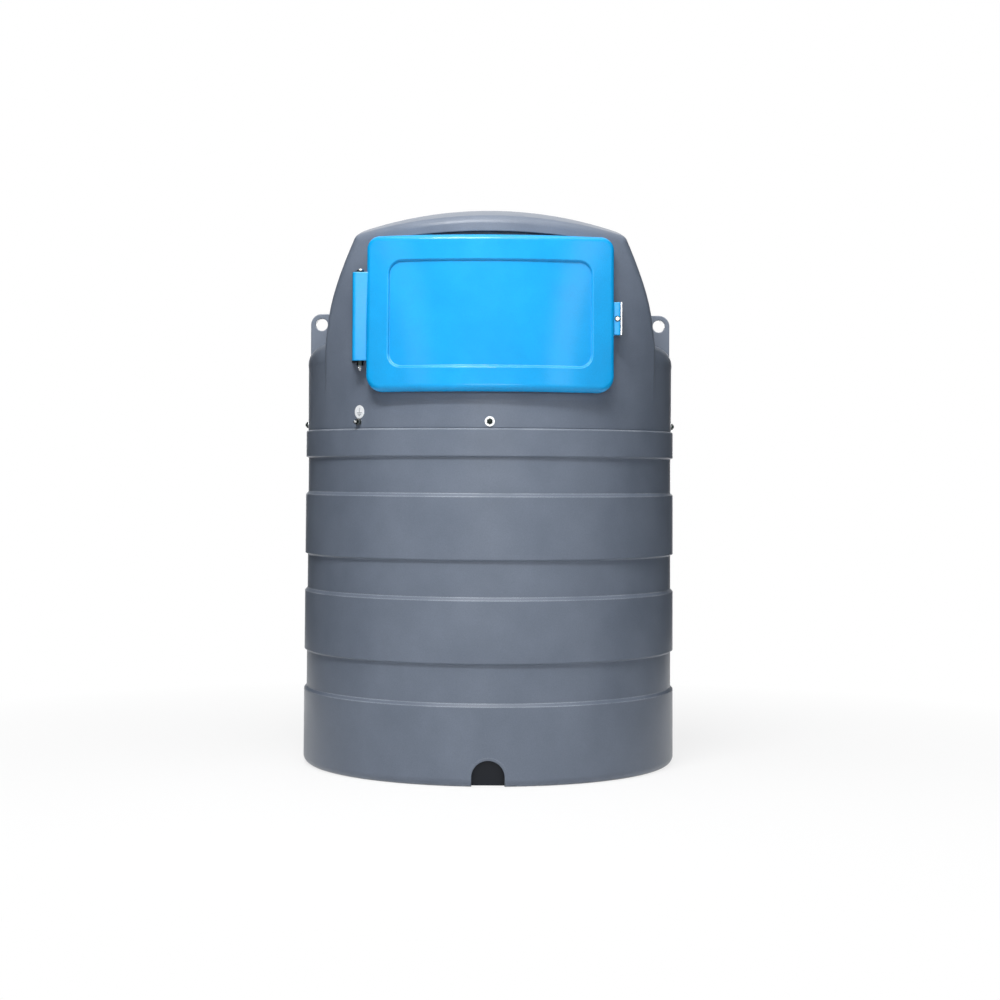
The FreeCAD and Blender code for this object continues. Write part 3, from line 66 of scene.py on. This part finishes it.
# %% [markdown]
# Colours are written as sRGB hex values, as a paint chart or a picture editor gives them.
# Blender shades in linear light, so one function converts them. A second small function adds a
# shader node with its settings and links; every material below is written with it.

# %% Colour and node helpers
MM = 0.001


def linear(hex_colour):
    """Linear RGBA from an sRGB hex value such as '#6B7382'."""
    channels = [int(hex_colour[i:i + 2], 16) / 255 for i in (1, 3, 5)]
    return [c / 12.92 if c <= 0.04045 else ((c + 0.055) / 1.055) ** 2.4 for c in channels] + [1.0]


def add(tree, kind, inputs=None, **settings):
    """Add a node; inputs maps a socket's name or number to a value or to another node's output."""
    made = tree.nodes.new(kind)
    for name, value in settings.items():
        setattr(made, name, value)
    for socket, value in (inputs or {}).items():
        if isinstance(value, bpy.types.NodeSocket):
            tree.links.new(value, made.inputs[socket])
        else:
            made.inputs[socket].default_value = value
    return made


def new_material(name):
    """Empty material with one Principled shader; returns the material, its tree and the shader."""
    old = bpy.data.materials.get(name)
    if old:
        old.name = name + "_plain"
    material = bpy.data.materials.new(name)
    material.use_nodes = True
    tree = material.node_tree
    tree.nodes.clear()
    shader = tree.nodes.new("ShaderNodeBsdfPrincipled")
    output = tree.nodes.new("ShaderNodeOutputMaterial")
    tree.links.new(shader.outputs["BSDF"], output.inputs["Surface"])
    return material, tree, shader


def per_metre(size_mm):
    """Noise scale whose features are about size_mm wide."""
    return 1.0 / (size_mm * MM)


# %% [markdown]
# The tub, the inner tank and the door are rotomoulded polyethylene. Powder melts against a hot
# steel mould that turns slowly, so the skin is satin, never quite flat, and the pigment is a
# little uneven. That gives the eye a faint clouding some 14 centimetres across and a fine
# speckle. The speckle is finer than a pixel on the real tank, so it is drawn 3 mm coarse here
# to show at all.
#
# An image of the surface could carry all that, but noise made from the position on the piece
# has no seams, needs no unwrapping and stays the same from every side. Noise runs from 0 to 1,
# but nearly all of it lies between 0.3 and 0.7, so patterns are stretched between those two.

# %% Clouded and speckled pigment
CLOUD_SIZE = 140
SPECKLE_SIZE = 3.0
SPECKLE_CONTRAST = 0.06
NOISE_LOW, NOISE_HIGH = 0.3, 0.7


def pigment(tree, place, clouds, colour, pale, dark):
    """Colour that drifts from dark to pale with the clouds, times a fine speckle."""
    clouded = add(tree, "ShaderNodeValToRGB", {"Fac": clouds})
    ramp = clouded.color_ramp.elements
    ramp[0].position, ramp[0].color = NOISE_LOW, linear(dark)
    ramp[1].position, ramp[1].color = NOISE_HIGH, linear(pale)
    ramp.new(0.5).color = linear(colour)
    speckle = add(tree, "ShaderNodeTexNoise", {"Vector": place, "Scale": per_metre(SPECKLE_SIZE),
                                               "Detail": 2.0, "Roughness": 0.6})
    grain = add(tree, "ShaderNodeMapRange", {0: speckle.outputs["Fac"],
                                             1: NOISE_LOW, 2: NOISE_HIGH,
                                             3: 1 - SPECKLE_CONTRAST, 4: 1 + SPECKLE_CONTRAST})
    return add(tree, "ShaderNodeVectorMath", {0: clouded.outputs["Color"],
                                              "Scale": grain.outputs["Result"]},
               operation="SCALE").outputs["Vector"]


# %% [markdown]
# The mould rounds the edges of the bands. The CAD edges are sharp, and a real bevel would need
# many more faces, so a Bevel node rounds them in the shading alone. It gives the normal that a
# 5 mm rounding would have. Where that normal turns away from the surface's own and points upward,
# the pigment goes pale, more so in some clouds than in others. The pale is partly rubbed wear from
# handling and partly a painted highlight, standing in for the bright line that overhead light
# draws on each ledge. The turn is measured by the dot product of both normals, which is 1 where
# they agree.

# %% Rubbed edges and painted highlight
EDGE_ROUNDING = 5.0 * MM
# share of pale on the edges: part rubbed wear, part painted highlight
RUBBED_AND_HIGHLIT_SHARE = 0.45
TURN_STARTS, TURN_ENDS = 0.995, 0.95
RISE_STARTS, RISE_ENDS = 0.02, 0.3


def product(tree, factors):
    """Output of all the nodes in a list multiplied together."""
    total = factors[0].outputs["Result"]
    for factor in factors[1:]:
        total = add(tree, "ShaderNodeMath", {0: total, 1: factor.outputs["Result"]},
                    operation="MULTIPLY").outputs[0]
    return total


def rubbed_and_highlit_edges(tree, clouds, rounded, pigmented, rubbed_highlight_colour):
    """Pigment that goes pale on rounded edges that look up: part rubbed wear, part painted
    highlight.
    """
    own_normal = add(tree, "ShaderNodeNewGeometry").outputs["Normal"]
    agree = add(tree, "ShaderNodeVectorMath", {0: rounded, 1: own_normal}, operation="DOT_PRODUCT")
    turning = add(tree, "ShaderNodeMapRange", {0: agree.outputs["Value"],
                                               1: TURN_STARTS, 2: TURN_ENDS,
                                               3: 0.0, 4: RUBBED_AND_HIGHLIT_SHARE})
    rise = add(tree, "ShaderNodeSeparateXYZ", {0: rounded}).outputs["Z"]
    facing_up = add(tree, "ShaderNodeMapRange", {0: rise, 1: RISE_STARTS, 2: RISE_ENDS})
    patchy = add(tree, "ShaderNodeMapRange", {0: clouds, 1: 0.35, 2: 0.6, 3: 0.4, 4: 1.0})
    rubbed_and_highlit = product(tree, [turning, facing_up, patchy])
    # pale on rounded edges that face up: part rubbed wear, part painted highlight
    return add(tree, "ShaderNodeMix", {0: rubbed_and_highlit, 6: pigmented, 7: linear(rubbed_highlight_colour)},
               data_type="RGBA").outputs[2]


# %% [markdown]
# On the real tank the arched notch in the foot is deep, and dark inside. The model's notch is
# shallow, and the lamps would light its inner faces, so shade is painted on them: a dark colour in
# place of the shadow that a deep notch holds. Four limits close in on them: to both sides, above,
# in front and behind. The front limit is soft, so the painted shade starts 3 mm inside the lip.

# %% Painted shade in the notch
NOTCH_HALF_WIDTH = 51 * MM
NOTCH_TOP = 82 * MM
NOTCH_DARK_FROM, NOTCH_DARK_AT = 3 * MM, 12 * MM
NOTCH_BACK = 49 * MM
# colour of the painted shade inside the notch
NOTCH_SHADE_COLOUR = "#0C1420"
foot_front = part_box("bund_tub")[0].y


def painted_notch_shade(tree, place, coloured):
    """The colour given, but painted dark as shade on the faces inside the notch."""
    across, depth, height = add(tree, "ShaderNodeSeparateXYZ", {0: place}).outputs
    sideways = add(tree, "ShaderNodeMath", {0: across}, operation="ABSOLUTE").outputs[0]
    limits = [(sideways, NOTCH_HALF_WIDTH + MM, NOTCH_HALF_WIDTH),
              (height, NOTCH_TOP + MM, NOTCH_TOP),
              (depth, foot_front + NOTCH_DARK_FROM, foot_front + NOTCH_DARK_AT),
              (depth, foot_front + NOTCH_BACK + MM, foot_front + NOTCH_BACK)]
    inside = product(tree, [add(tree, "ShaderNodeMapRange", {0: measure, 1: outside, 2: within})
                            for measure, outside, within in limits])
    # painted shade: the notch's inner faces take the dark colour in place of a shadow
    return add(tree, "ShaderNodeMix", {0: inside, 6: coloured, 7: linear(NOTCH_SHADE_COLOUR)},
               data_type="RGBA").outputs[2]


# %% [markdown]
# Now the finish itself. Polyethylene has an index of refraction of 1.51. The tub is satin, and
# the door, which comes from a smoother mould, is glossier. The roughness drifts a little with
# the clouds, and a weak bump 9 mm across gives the orange-peel skin. The reflection is set
# lower than the usual 0.5, because the skin scatters much of it.
#
# Each finish keeps its roughness on one side of 0.27. The picture's noise filter treats gloss
# above and below it in two ways, and a finish that crosses it shows patches with sharp edges.

# %% Rotomoulded polyethylene
PEEL_SIZE = 9.0
PEEL_DEPTH = 0.6 * MM
SHEEN_DRIFT = 0.04


def polyethylene(name, colour, pale, dark, rubbed_highlight_colour, roughness, reflection):
    """Satin moulded plastic: clouded colour, fine speckle, orange-peel skin, and rubbed edges that
    carry a painted highlight.
    """
    material, tree, shader = new_material(name)
    place = add(tree, "ShaderNodeTexCoord").outputs["Object"]
    clouds = add(tree, "ShaderNodeTexNoise", {"Vector": place, "Scale": per_metre(CLOUD_SIZE),
                                              "Detail": 3.0, "Roughness": 0.55}).outputs["Fac"]
    rounded = add(tree, "ShaderNodeBevel", {"Radius": EDGE_ROUNDING}, samples=6).outputs["Normal"]
    pigmented = pigment(tree, place, clouds, colour, pale, dark)
    worn_and_highlit = rubbed_and_highlit_edges(tree, clouds, rounded, pigmented, rubbed_highlight_colour)
    # the base colour carries the painted highlight on the edges and the painted shade in the notch
    tree.links.new(painted_notch_shade(tree, place, worn_and_highlit), shader.inputs["Base Color"])
    sheen = add(tree, "ShaderNodeMapRange", {0: clouds, 1: NOISE_LOW, 2: NOISE_HIGH,
                                             3: roughness - SHEEN_DRIFT,
                                             4: roughness + SHEEN_DRIFT})
    tree.links.new(sheen.outputs["Result"], shader.inputs["Roughness"])
    peel = add(tree, "ShaderNodeTexNoise", {"Vector": place, "Scale": per_metre(PEEL_SIZE),
                                            "Detail": 2.0})
    skin = add(tree, "ShaderNodeBump", {"Height": peel.outputs["Fac"], "Strength": 0.25,
                                        "Distance": PEEL_DEPTH, "Normal": rounded})
    tree.links.new(skin.outputs["Normal"], shader.inputs["Normal"])
    shader.inputs["IOR"].default_value = 1.51
    shader.inputs["Specular IOR Level"].default_value = reflection
    return material


# The edge colour below is the pale of rubbed wear and of a painted highlight on rounded edges that
# face up.
grey_polyethylene = polyethylene("grey_polyethylene", colour="#67707E", pale="#6B7482",
                                 dark="#636C7A", rubbed_highlight_colour="#D8DDE4", roughness=0.34, reflection=0.28)
blue_polyethylene = polyethylene("blue_polyethylene", colour="#0798DA", pale="#0B9CDE",
                                 dark="#0494D5", rubbed_highlight_colour="#8ED8FF", roughness=0.22, reflection=0.32)
print("made", grey_polyethylene.name, "and", blue_polyethylene.name)

# %% [markdown]
# The metal pieces are small: stainless bolts and pipes, zinc-plated brackets, blackened nuts
# and the cast aluminium of the pump. A metal takes its colour from its reflection, so each is
# fully metallic with the default index of refraction. Brushed steel has fine parallel
# scratches, drawn by noise that is stretched along X; the others have the same noise
# unstretched, as a faint mottle.

# %% Metals
EVEN = (1.0, 1.0, 1.0)
ALONG_X = (0.08, 1.0, 1.0)
ALONG_Z = (1.0, 1.0, 0.08)


def worked_metal(name, colour, roughness, mark_mm, stretch):
    """Metal with fine marks; stretch scales the pattern along X, Y and Z."""
    material, tree, shader = new_material(name)
    place = add(tree, "ShaderNodeTexCoord").outputs["Object"]
    drawn = add(tree, "ShaderNodeMapping", {"Vector": place, "Scale": stretch})
    marks = add(tree, "ShaderNodeTexNoise", {"Vector": drawn.outputs["Vector"],
                                             "Scale": per_metre(mark_mm), "Detail": 3.0})
    rough = add(tree, "ShaderNodeMapRange", {0: marks.outputs["Fac"], 1: 0.25, 2: 0.75,
                                             3: roughness - 0.08, 4: roughness + 0.10})
    tree.links.new(rough.outputs["Result"], shader.inputs["Roughness"])
    shade = add(tree, "ShaderNodeMapRange", {0: marks.outputs["Fac"], 1: 0.25, 2: 0.75,
                                             3: 0.92, 4: 1.05})
    tone = add(tree, "ShaderNodeVectorMath", {0: linear(colour)[:3],
                                              "Scale": shade.outputs["Result"]},
               operation="SCALE")
    tree.links.new(tone.outputs["Vector"], shader.inputs["Base Color"])
    relief = add(tree, "ShaderNodeBump", {"Height": marks.outputs["Fac"], "Strength": 0.15,
                                          "Distance": 0.05 * MM})
    tree.links.new(relief.outputs["Normal"], shader.inputs["Normal"])
    shader.inputs["Metallic"].default_value = 1.0
    return material


stainless_steel = worked_metal("stainless_steel", "#C9CBCC", 0.26, 1.2, ALONG_X)
zinc_plated_steel = worked_metal("zinc_plated_steel", "#D3D4D2", 0.24, 4.0, EVEN)
dark_steel = worked_metal("dark_steel", "#2A302E", 0.38, 3.0, EVEN)
cast_aluminium = worked_metal("cast_aluminium", "#B4B7B8", 0.46, 2.0, EVEN)
print("made 4 metals")

# %% [markdown]
# The remaining finishes are moulded parts in black or red plastic, rubber seals, the white
# vinyl label and the clear window of the meter. Injection-moulded plastic has a fine even
# grain. Rubber has a rougher skin, and vinyl film is smooth and glossy. The window is acrylic,
# so it lets light through, and its slow ripple is 12 mm wide.

# %% Small mouldings, rubber, vinyl and the clear window
def grained_moulding(name, colour, roughness, grain_mm, depth_mm, ior):
    """Plain moulded surface with an even grain."""
    material, tree, shader = new_material(name)
    place = add(tree, "ShaderNodeTexCoord").outputs["Object"]
    grain = add(tree, "ShaderNodeTexNoise", {"Vector": place, "Scale": per_metre(grain_mm),
                                             "Detail": 2.0})
    shade = add(tree, "ShaderNodeMapRange", {0: grain.outputs["Fac"],
                                             1: NOISE_LOW, 2: NOISE_HIGH, 3: 0.9, 4: 1.1})
    tone = add(tree, "ShaderNodeVectorMath", {0: linear(colour)[:3],
                                              "Scale": shade.outputs["Result"]},
               operation="SCALE")
    tree.links.new(tone.outputs["Vector"], shader.inputs["Base Color"])
    relief = add(tree, "ShaderNodeBump", {"Height": grain.outputs["Fac"], "Strength": 0.3,
                                          "Distance": depth_mm * MM})
    tree.links.new(relief.outputs["Normal"], shader.inputs["Normal"])
    shader.inputs["Roughness"].default_value = roughness
    shader.inputs["IOR"].default_value = ior
    return material


black_plastic = grained_moulding("black_plastic", "#1C1D1F", 0.45, 1.5, 0.1, 1.53)
red_plastic = grained_moulding("red_plastic", "#B01A14", 0.3, 1.5, 0.05, 1.53)
rubber_seal = grained_moulding("rubber_seal", "#161616", 0.75, 2.0, 0.2, 1.52)
white_vinyl = grained_moulding("white_vinyl", "#ECEEF0", 0.25, 4.0, 0.02, 1.54)
clear_window = grained_moulding("clear_window", "#C8D2CC", 0.05, 12.0, 0.01, 1.49)
window_shader = clear_window.node_tree.nodes["Principled BSDF"]
window_shader.inputs["Transmission Weight"].default_value = 1.0
print("made 5 mouldings")

# %% [markdown]
# The earth stud and the foot of the hinge pin are threaded, which the CAD model leaves plain. A
# modelled thread would take thousands of faces for something a pixel wide, so a ripple in the
# shading draws its turns. The stud points straight out from the tank's axis, so its ripple runs
# with the distance from that axis. The pin stands upright, so its ripple runs with the height,
# and only below a line 4 mm above its nut.

# %% Threads
THREAD_PITCH = 1.5 * MM
THREAD_DEPTH = 0.4 * MM
PIN_THREAD_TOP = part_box("hinge_nut")[1].z + 4 * MM


def add_thread(material, along, top=None):
    """Ripple in a metal along its 'radius' or 'height'; a thread along the height ends at top."""
    tree = material.node_tree
    shader = [node for node in tree.nodes if node.type == "BSDF_PRINCIPLED"][0]
    relief = [node for node in tree.nodes if node.type == "BUMP"][0]
    place = add(tree, "ShaderNodeTexCoord").outputs["Object"]
    if along == "radius":
        flat = add(tree, "ShaderNodeVectorMath", {0: place, 1: (1.0, 1.0, 0.0)},
                   operation="MULTIPLY")
        distance = add(tree, "ShaderNodeVectorMath", {0: flat.outputs["Vector"]},
                       operation="LENGTH").outputs["Value"]
    else:
        distance = add(tree, "ShaderNodeSeparateXYZ", {0: place}).outputs["Z"]
    turns = add(tree, "ShaderNodeMath", {0: distance, 1: 2 * math.pi / THREAD_PITCH},
                operation="MULTIPLY")
    ripple = add(tree, "ShaderNodeMath", {0: turns.outputs[0]}, operation="SINE").outputs[0]
    if top:
        below = add(tree, "ShaderNodeMath", {0: distance, 1: top}, operation="LESS_THAN")
        ripple = add(tree, "ShaderNodeMath", {0: ripple, 1: below.outputs[0]},
                     operation="MULTIPLY").outputs[0]
    thread = add(tree, "ShaderNodeBump", {"Height": ripple, "Strength": 0.9,
                                          "Distance": THREAD_DEPTH,
                                          "Normal": relief.outputs["Normal"]})
    tree.links.new(thread.outputs["Normal"], shader.inputs["Normal"])


threaded_steel = worked_metal("threaded_steel", "#C9CBCC", 0.26, 1.2, EVEN)
add_thread(threaded_steel, "radius")
pin_steel = worked_metal("pin_steel", "#C9CBCC", 0.22, 1.2, ALONG_Z)
add_thread(pin_steel, "height", PIN_THREAD_TOP)
print("pin thread below", round(PIN_THREAD_TOP, 3), "m")

# %% [markdown]
# Each piece of the model names a material slot in its record, and each slot has the name of one
# of the materials above, so a loop can dress every piece. The two threaded pieces get their
# own. The CAD mesh is made of flat facets. Smooth shading below a limit of 30 degrees rounds
# the curved walls and keeps the true edges sharp.

# %% Dress the pieces
SMOOTH_BELOW = math.radians(30)
slot_of = {part["node"]: part["material_slot"] for part in frame["record"]["subparts"]}
threaded = {"earth_stud": threaded_steel, "hinge_pin": pin_steel}
for name, piece in cad_nodes.items():
    piece.data.materials.clear()
    piece.data.materials.append(threaded.get(name) or bpy.data.materials[slot_of[name]])
    bpy.context.view_layer.objects.active = piece
    for other in bpy.context.selected_objects:
        other.select_set(False)
    piece.select_set(True)
    bpy.ops.object.shade_smooth_by_angle(angle=SMOOTH_BELOW)
print("dressed", len(slot_of), "pieces in", len(set(slot_of.values())), "finishes")

# %% [markdown]
# The earth point has a round vinyl label with the sign for earth: an upright line over three
# level lines that get shorter. It is printed, so it has no thickness to speak of. An image
# could carry it, but strips stay sharp from any distance. Each line is a thin strip that bends
# with the label and stands 0.1 mm proud of it. The label's distance from the axis and its
# direction come from the CAD mesh.

# %% Print on the earth label
PRINT_PROUD = 0.1 * MM
PRINT_SUNK = 0.2 * MM
STRIP_STEPS = 8
# each line: left, right, bottom and top from the middle of the label, in millimetres
EARTH_SIGN = [(-1.1, 1.1, -2.0, 12.0), (-11.0, 11.0, -4.2, -2.0), (-7.5, 7.5, -8.6, -6.4),
              (-4.0, 4.0, -13.0, -10.8)]
printing_ink = grained_moulding("printing_ink", "#8F959B", 0.4, 2.0, 0.01, 1.5)


def plan_radius(point):
    """Distance from the tank's axis."""
    return math.hypot(point.x, point.y)


def bent_strip(mesh, radius, angle, height, left, right, low, high):
    """Closed strip on a cylinder, sizes in millimetres from the middle of the label."""
    rings = []
    for step in range(STRIP_STEPS + 1):
        turn = angle + (left + (right - left) * step / STRIP_STEPS) * MM / radius
        out = Vector((math.sin(turn), -math.cos(turn), 0))
        ring = []
        for reach, rise in ((radius - PRINT_SUNK, low), (radius + PRINT_PROUD, low),
                            (radius + PRINT_PROUD, high), (radius - PRINT_SUNK, high)):
            ring.append(mesh.verts.new(out * reach + Vector((0, 0, height + rise * MM))))
        rings.append(ring)
    for a, b in zip(rings, rings[1:]):
        for i in range(4):
            mesh.faces.new((a[i], b[i], b[(i + 1) % 4], a[(i + 1) % 4]))
    mesh.faces.new(rings[0])
    mesh.faces.new(list(reversed(rings[-1])))


def new_piece(name, build_mesh, material, body):
    """Object from a filled bmesh, with its material, riding on a body."""
    bmesh.ops.recalc_face_normals(build_mesh, faces=build_mesh.faces)
    data = bpy.data.meshes.new(name)
    build_mesh.to_mesh(data)
    build_mesh.free()
    data.materials.append(material)
    piece = bpy.data.objects.new(name, data)
    bpy.context.scene.collection.objects.link(piece)
    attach(piece, body)
    return piece


label_points = [vertex.co for vertex in cad_nodes["earth_label"].data.vertices]
label_radius = max(plan_radius(point) for point in label_points)
label_middle = sum(label_points, Vector()) / len(label_points)
label_angle = math.atan2(label_middle.x, -label_middle.y)
sign = bmesh.new()
for left, right, low, high in EARTH_SIGN:
    bent_strip(sign, label_radius, label_angle, label_middle.z, left, right, low, high)
earth_sign = new_piece("earth_sign", sign, printing_ink, "tank")
print("earth sign at", round(label_radius, 4), "m from the axis and",
      round(math.degrees(label_angle), 1), "degrees from the front")

# %% [markdown]
# The picture has a white background. More light on it would fall on the tank too, so the
# background has white colour of its own instead, for the rays that see it: those from the
# camera, those reflected in a gloss or a metal, and those through the clear window. One helper
# tells these rays from the rest, and the floor and the world share it.

# %% Rays that see white
def seeing_rays(tree):
    """1 for a camera, glossy or transmission ray and 0 for any other."""
    ray = add(tree, "ShaderNodeLightPath")
    seen = add(tree, "ShaderNodeMath", {0: ray.outputs["Is Camera Ray"],
                                        1: ray.outputs["Is Glossy Ray"]}, operation="MAXIMUM")
    return add(tree, "ShaderNodeMath", {0: seen.outputs[0],
                                        1: ray.outputs["Is Transmission Ray"]},
               operation="MAXIMUM").outputs[0]


# %% [markdown]
# The studio is one large floor of white paper. Near the tank it glows by four fifths and is lit
# like anything else for the rest, so it still shows the tank's soft shadow. Farther out it
# glows fully, at a strength of 1, which is white, and no horizon shows.

# %% Floor
FLOOR_HALF = 30.0
SHADOW_REACH, WHITE_FROM = 0.9, 2.6
GLOW_NEAR, GLOW_FAR = 0.8, 1.0


def flat_piece(name, corners, material):
    """One square face, not attached to any body of the tank."""
    data = bpy.data.meshes.new(name)
    data.from_pydata(corners, [], [(0, 1, 2, 3)])
    data.materials.append(material)
    piece = bpy.data.objects.new(name, data)
    bpy.context.scene.collection.objects.link(piece)
    return piece


white_paper, tree, shader = new_material("white_paper")
shader.inputs["Base Color"].default_value = linear("#F4F4F4")
shader.inputs["Roughness"].default_value = 0.9
glow = add(tree, "ShaderNodeEmission", {"Color": linear("#FFFFFF"), "Strength": 1.0})
place = add(tree, "ShaderNodeTexCoord").outputs["Object"]
away = add(tree, "ShaderNodeVectorMath", {0: place}, operation="LENGTH")
glowing = add(tree, "ShaderNodeMapRange", {0: away.outputs["Value"], 1: SHADOW_REACH,
                                           2: WHITE_FROM, 3: GLOW_NEAR, 4: GLOW_FAR})
share = add(tree, "ShaderNodeMath", {0: seeing_rays(tree), 1: glowing.outputs["Result"]},
            operation="MULTIPLY")
blend = add(tree, "ShaderNodeMixShader", {0: share.outputs[0], 1: shader.outputs["BSDF"],
                                          2: glow.outputs["Emission"]})
output = [node for node in tree.nodes if node.type == "OUTPUT_MATERIAL"][0]
tree.links.new(blend.outputs["Shader"], output.inputs["Surface"])
floor = flat_piece("floor", [(x, y, 0) for x, y in ((-FLOOR_HALF, -FLOOR_HALF),
                                                    (FLOOR_HALF, -FLOOR_HALF),
                                                    (FLOOR_HALF, FLOOR_HALF),
                                                    (-FLOOR_HALF, FLOOR_HALF))], white_paper)
print(floor.name, "of", 2 * FLOOR_HALF, "m")

# %% [markdown]
# The light is plain and soft. A wide low softbox in front fills the whole face. Two above it
# shade the tub from its middle to its sides, and a narrow strip a little left of the middle
# draws the bright line on every ledge. A weak lamp at each side and one behind keep the flanks
# and the back from going black. The right flank gets more than the left, because the strip
# stands on the left.

# %% Lamps
def softbox(name, place, width, depth, watts):
    """Rectangular area light at a place, aimed at the middle of the tank."""
    light = bpy.data.lights.new(name, "AREA")
    light.shape = "RECTANGLE"
    light.size = width
    light.size_y = depth
    light.energy = watts
    lamp = bpy.data.objects.new(name, light)
    lamp.location = place
    aim = middle_of_tank - Vector(place)
    lamp.rotation_euler = aim.to_track_quat("-Z", "Y").to_euler()
    bpy.context.scene.collection.objects.link(lamp)


middle_of_tank = (cad_box[0] + cad_box[1]) / 2
softbox("front_low", (0.0, -7.6, 2.3), width=4.0, depth=1.2, watts=100)
softbox("front_high", (0.0, -3.2, 4.6), width=2.5, depth=2.0, watts=60)
softbox("strip", (-0.7, -3.0, 4.4), width=1.6, depth=0.25, watts=125)
softbox("overhead", (0.0, -1.2, 4.6), width=3.5, depth=2.5, watts=70)
softbox("left", (-3.5, -4.5, 3.0), width=1.2, depth=2.0, watts=9)
softbox("right", (3.5, -4.5, 3.0), width=1.2, depth=2.0, watts=17)
softbox("rear", (0.0, 5.0, 1.3), width=3.0, depth=1.2, watts=60)
print("lamps:", len(bpy.data.lights))

# %% [markdown]
# Satin plastic mirrors a white room at its sides, where the eye looks along the surface, and
# the round tub would fade into the background there. A photographer stands tall black cards
# beside such an object, just outside the picture. Here they are two faces that only reflections
# see.

# %% Black cards
CARD_X = 2.3
CARD_FRONT, CARD_BACK, CARD_HEIGHT = -1.2, 5.5, 3.4
black_card, card_tree, card_shader = new_material("black_card")
card_shader.inputs["Base Color"].default_value = linear("#0A0A0C")
card_shader.inputs["Roughness"].default_value = 0.9
for name, x in (("card_left", -CARD_X), ("card_right", CARD_X)):
    card = flat_piece(name, [(x, CARD_FRONT, 0.0), (x, CARD_BACK, 0.0),
                             (x, CARD_BACK, CARD_HEIGHT), (x, CARD_FRONT, CARD_HEIGHT)],
                      black_card)
    card.visible_camera = False
    card.visible_diffuse = False
    card.visible_shadow = False
    card.visible_transmission = False

# %% [markdown]
# The room around it all is the world. It is white to the rays that see it. As a light it is
# only a faint blue fill, so that the shadows keep the cool tone of the photograph.

# %% White room
ROOM_FILL = 0.02
room = bpy.data.worlds.new("white_room")
room.use_nodes = True
bpy.context.scene.world = room
room_tree = room.node_tree
room_tree.nodes.clear()
seen = seeing_rays(room_tree)
strength = add(room_tree, "ShaderNodeMapRange", {0: seen, 3: ROOM_FILL, 4: 1.0})
tint = add(room_tree, "ShaderNodeMix", {0: seen, 6: linear("#B8D4FF"), 7: linear("#FFFFFF")},
           data_type="RGBA")
background = add(room_tree, "ShaderNodeBackground", {"Color": tint.outputs[2],
                                                     "Strength": strength.outputs["Result"]})
add(room_tree, "ShaderNodeOutputWorld", {"Surface": background.outputs["Background"]})

# %% [markdown]
# The camera stands where the photographer's did. The curve of each band in the picture gives
# its height and its distance: level with 0.94 m, and 11 tub radii from the axis. The picture is
# square. A small shift, rather than a tilt, brings the tank to its place in it, so upright
# edges stay upright. The roll of 0.3 degrees is the photograph's own.

# %% Camera
PICTURE = 1000
FOCAL_PIXELS = 2008
HORIZON_ROW = 472.4
AXIS_COLUMN = 489.5
SENSOR = 36.0
CAMERA_ROLL = -0.3
CAMERA_PLACE = (0.0, -6.61, 0.944)
camera_data = bpy.data.cameras.new("camera")
camera_data.sensor_width = SENSOR
camera_data.lens = SENSOR * FOCAL_PIXELS / PICTURE
camera_data.shift_x = 0.5 - AXIS_COLUMN / PICTURE
camera_data.shift_y = HORIZON_ROW / PICTURE - 0.5
camera = bpy.data.objects.new("camera", camera_data)
camera.location = CAMERA_PLACE
camera.rotation_euler = (math.radians(90), math.radians(CAMERA_ROLL), 0.0)
bpy.context.scene.collection.objects.link(camera)
bpy.context.scene.camera = camera
bpy.context.scene.view_settings.view_transform = "Standard"
print("lens", round(camera_data.lens, 1), "mm")
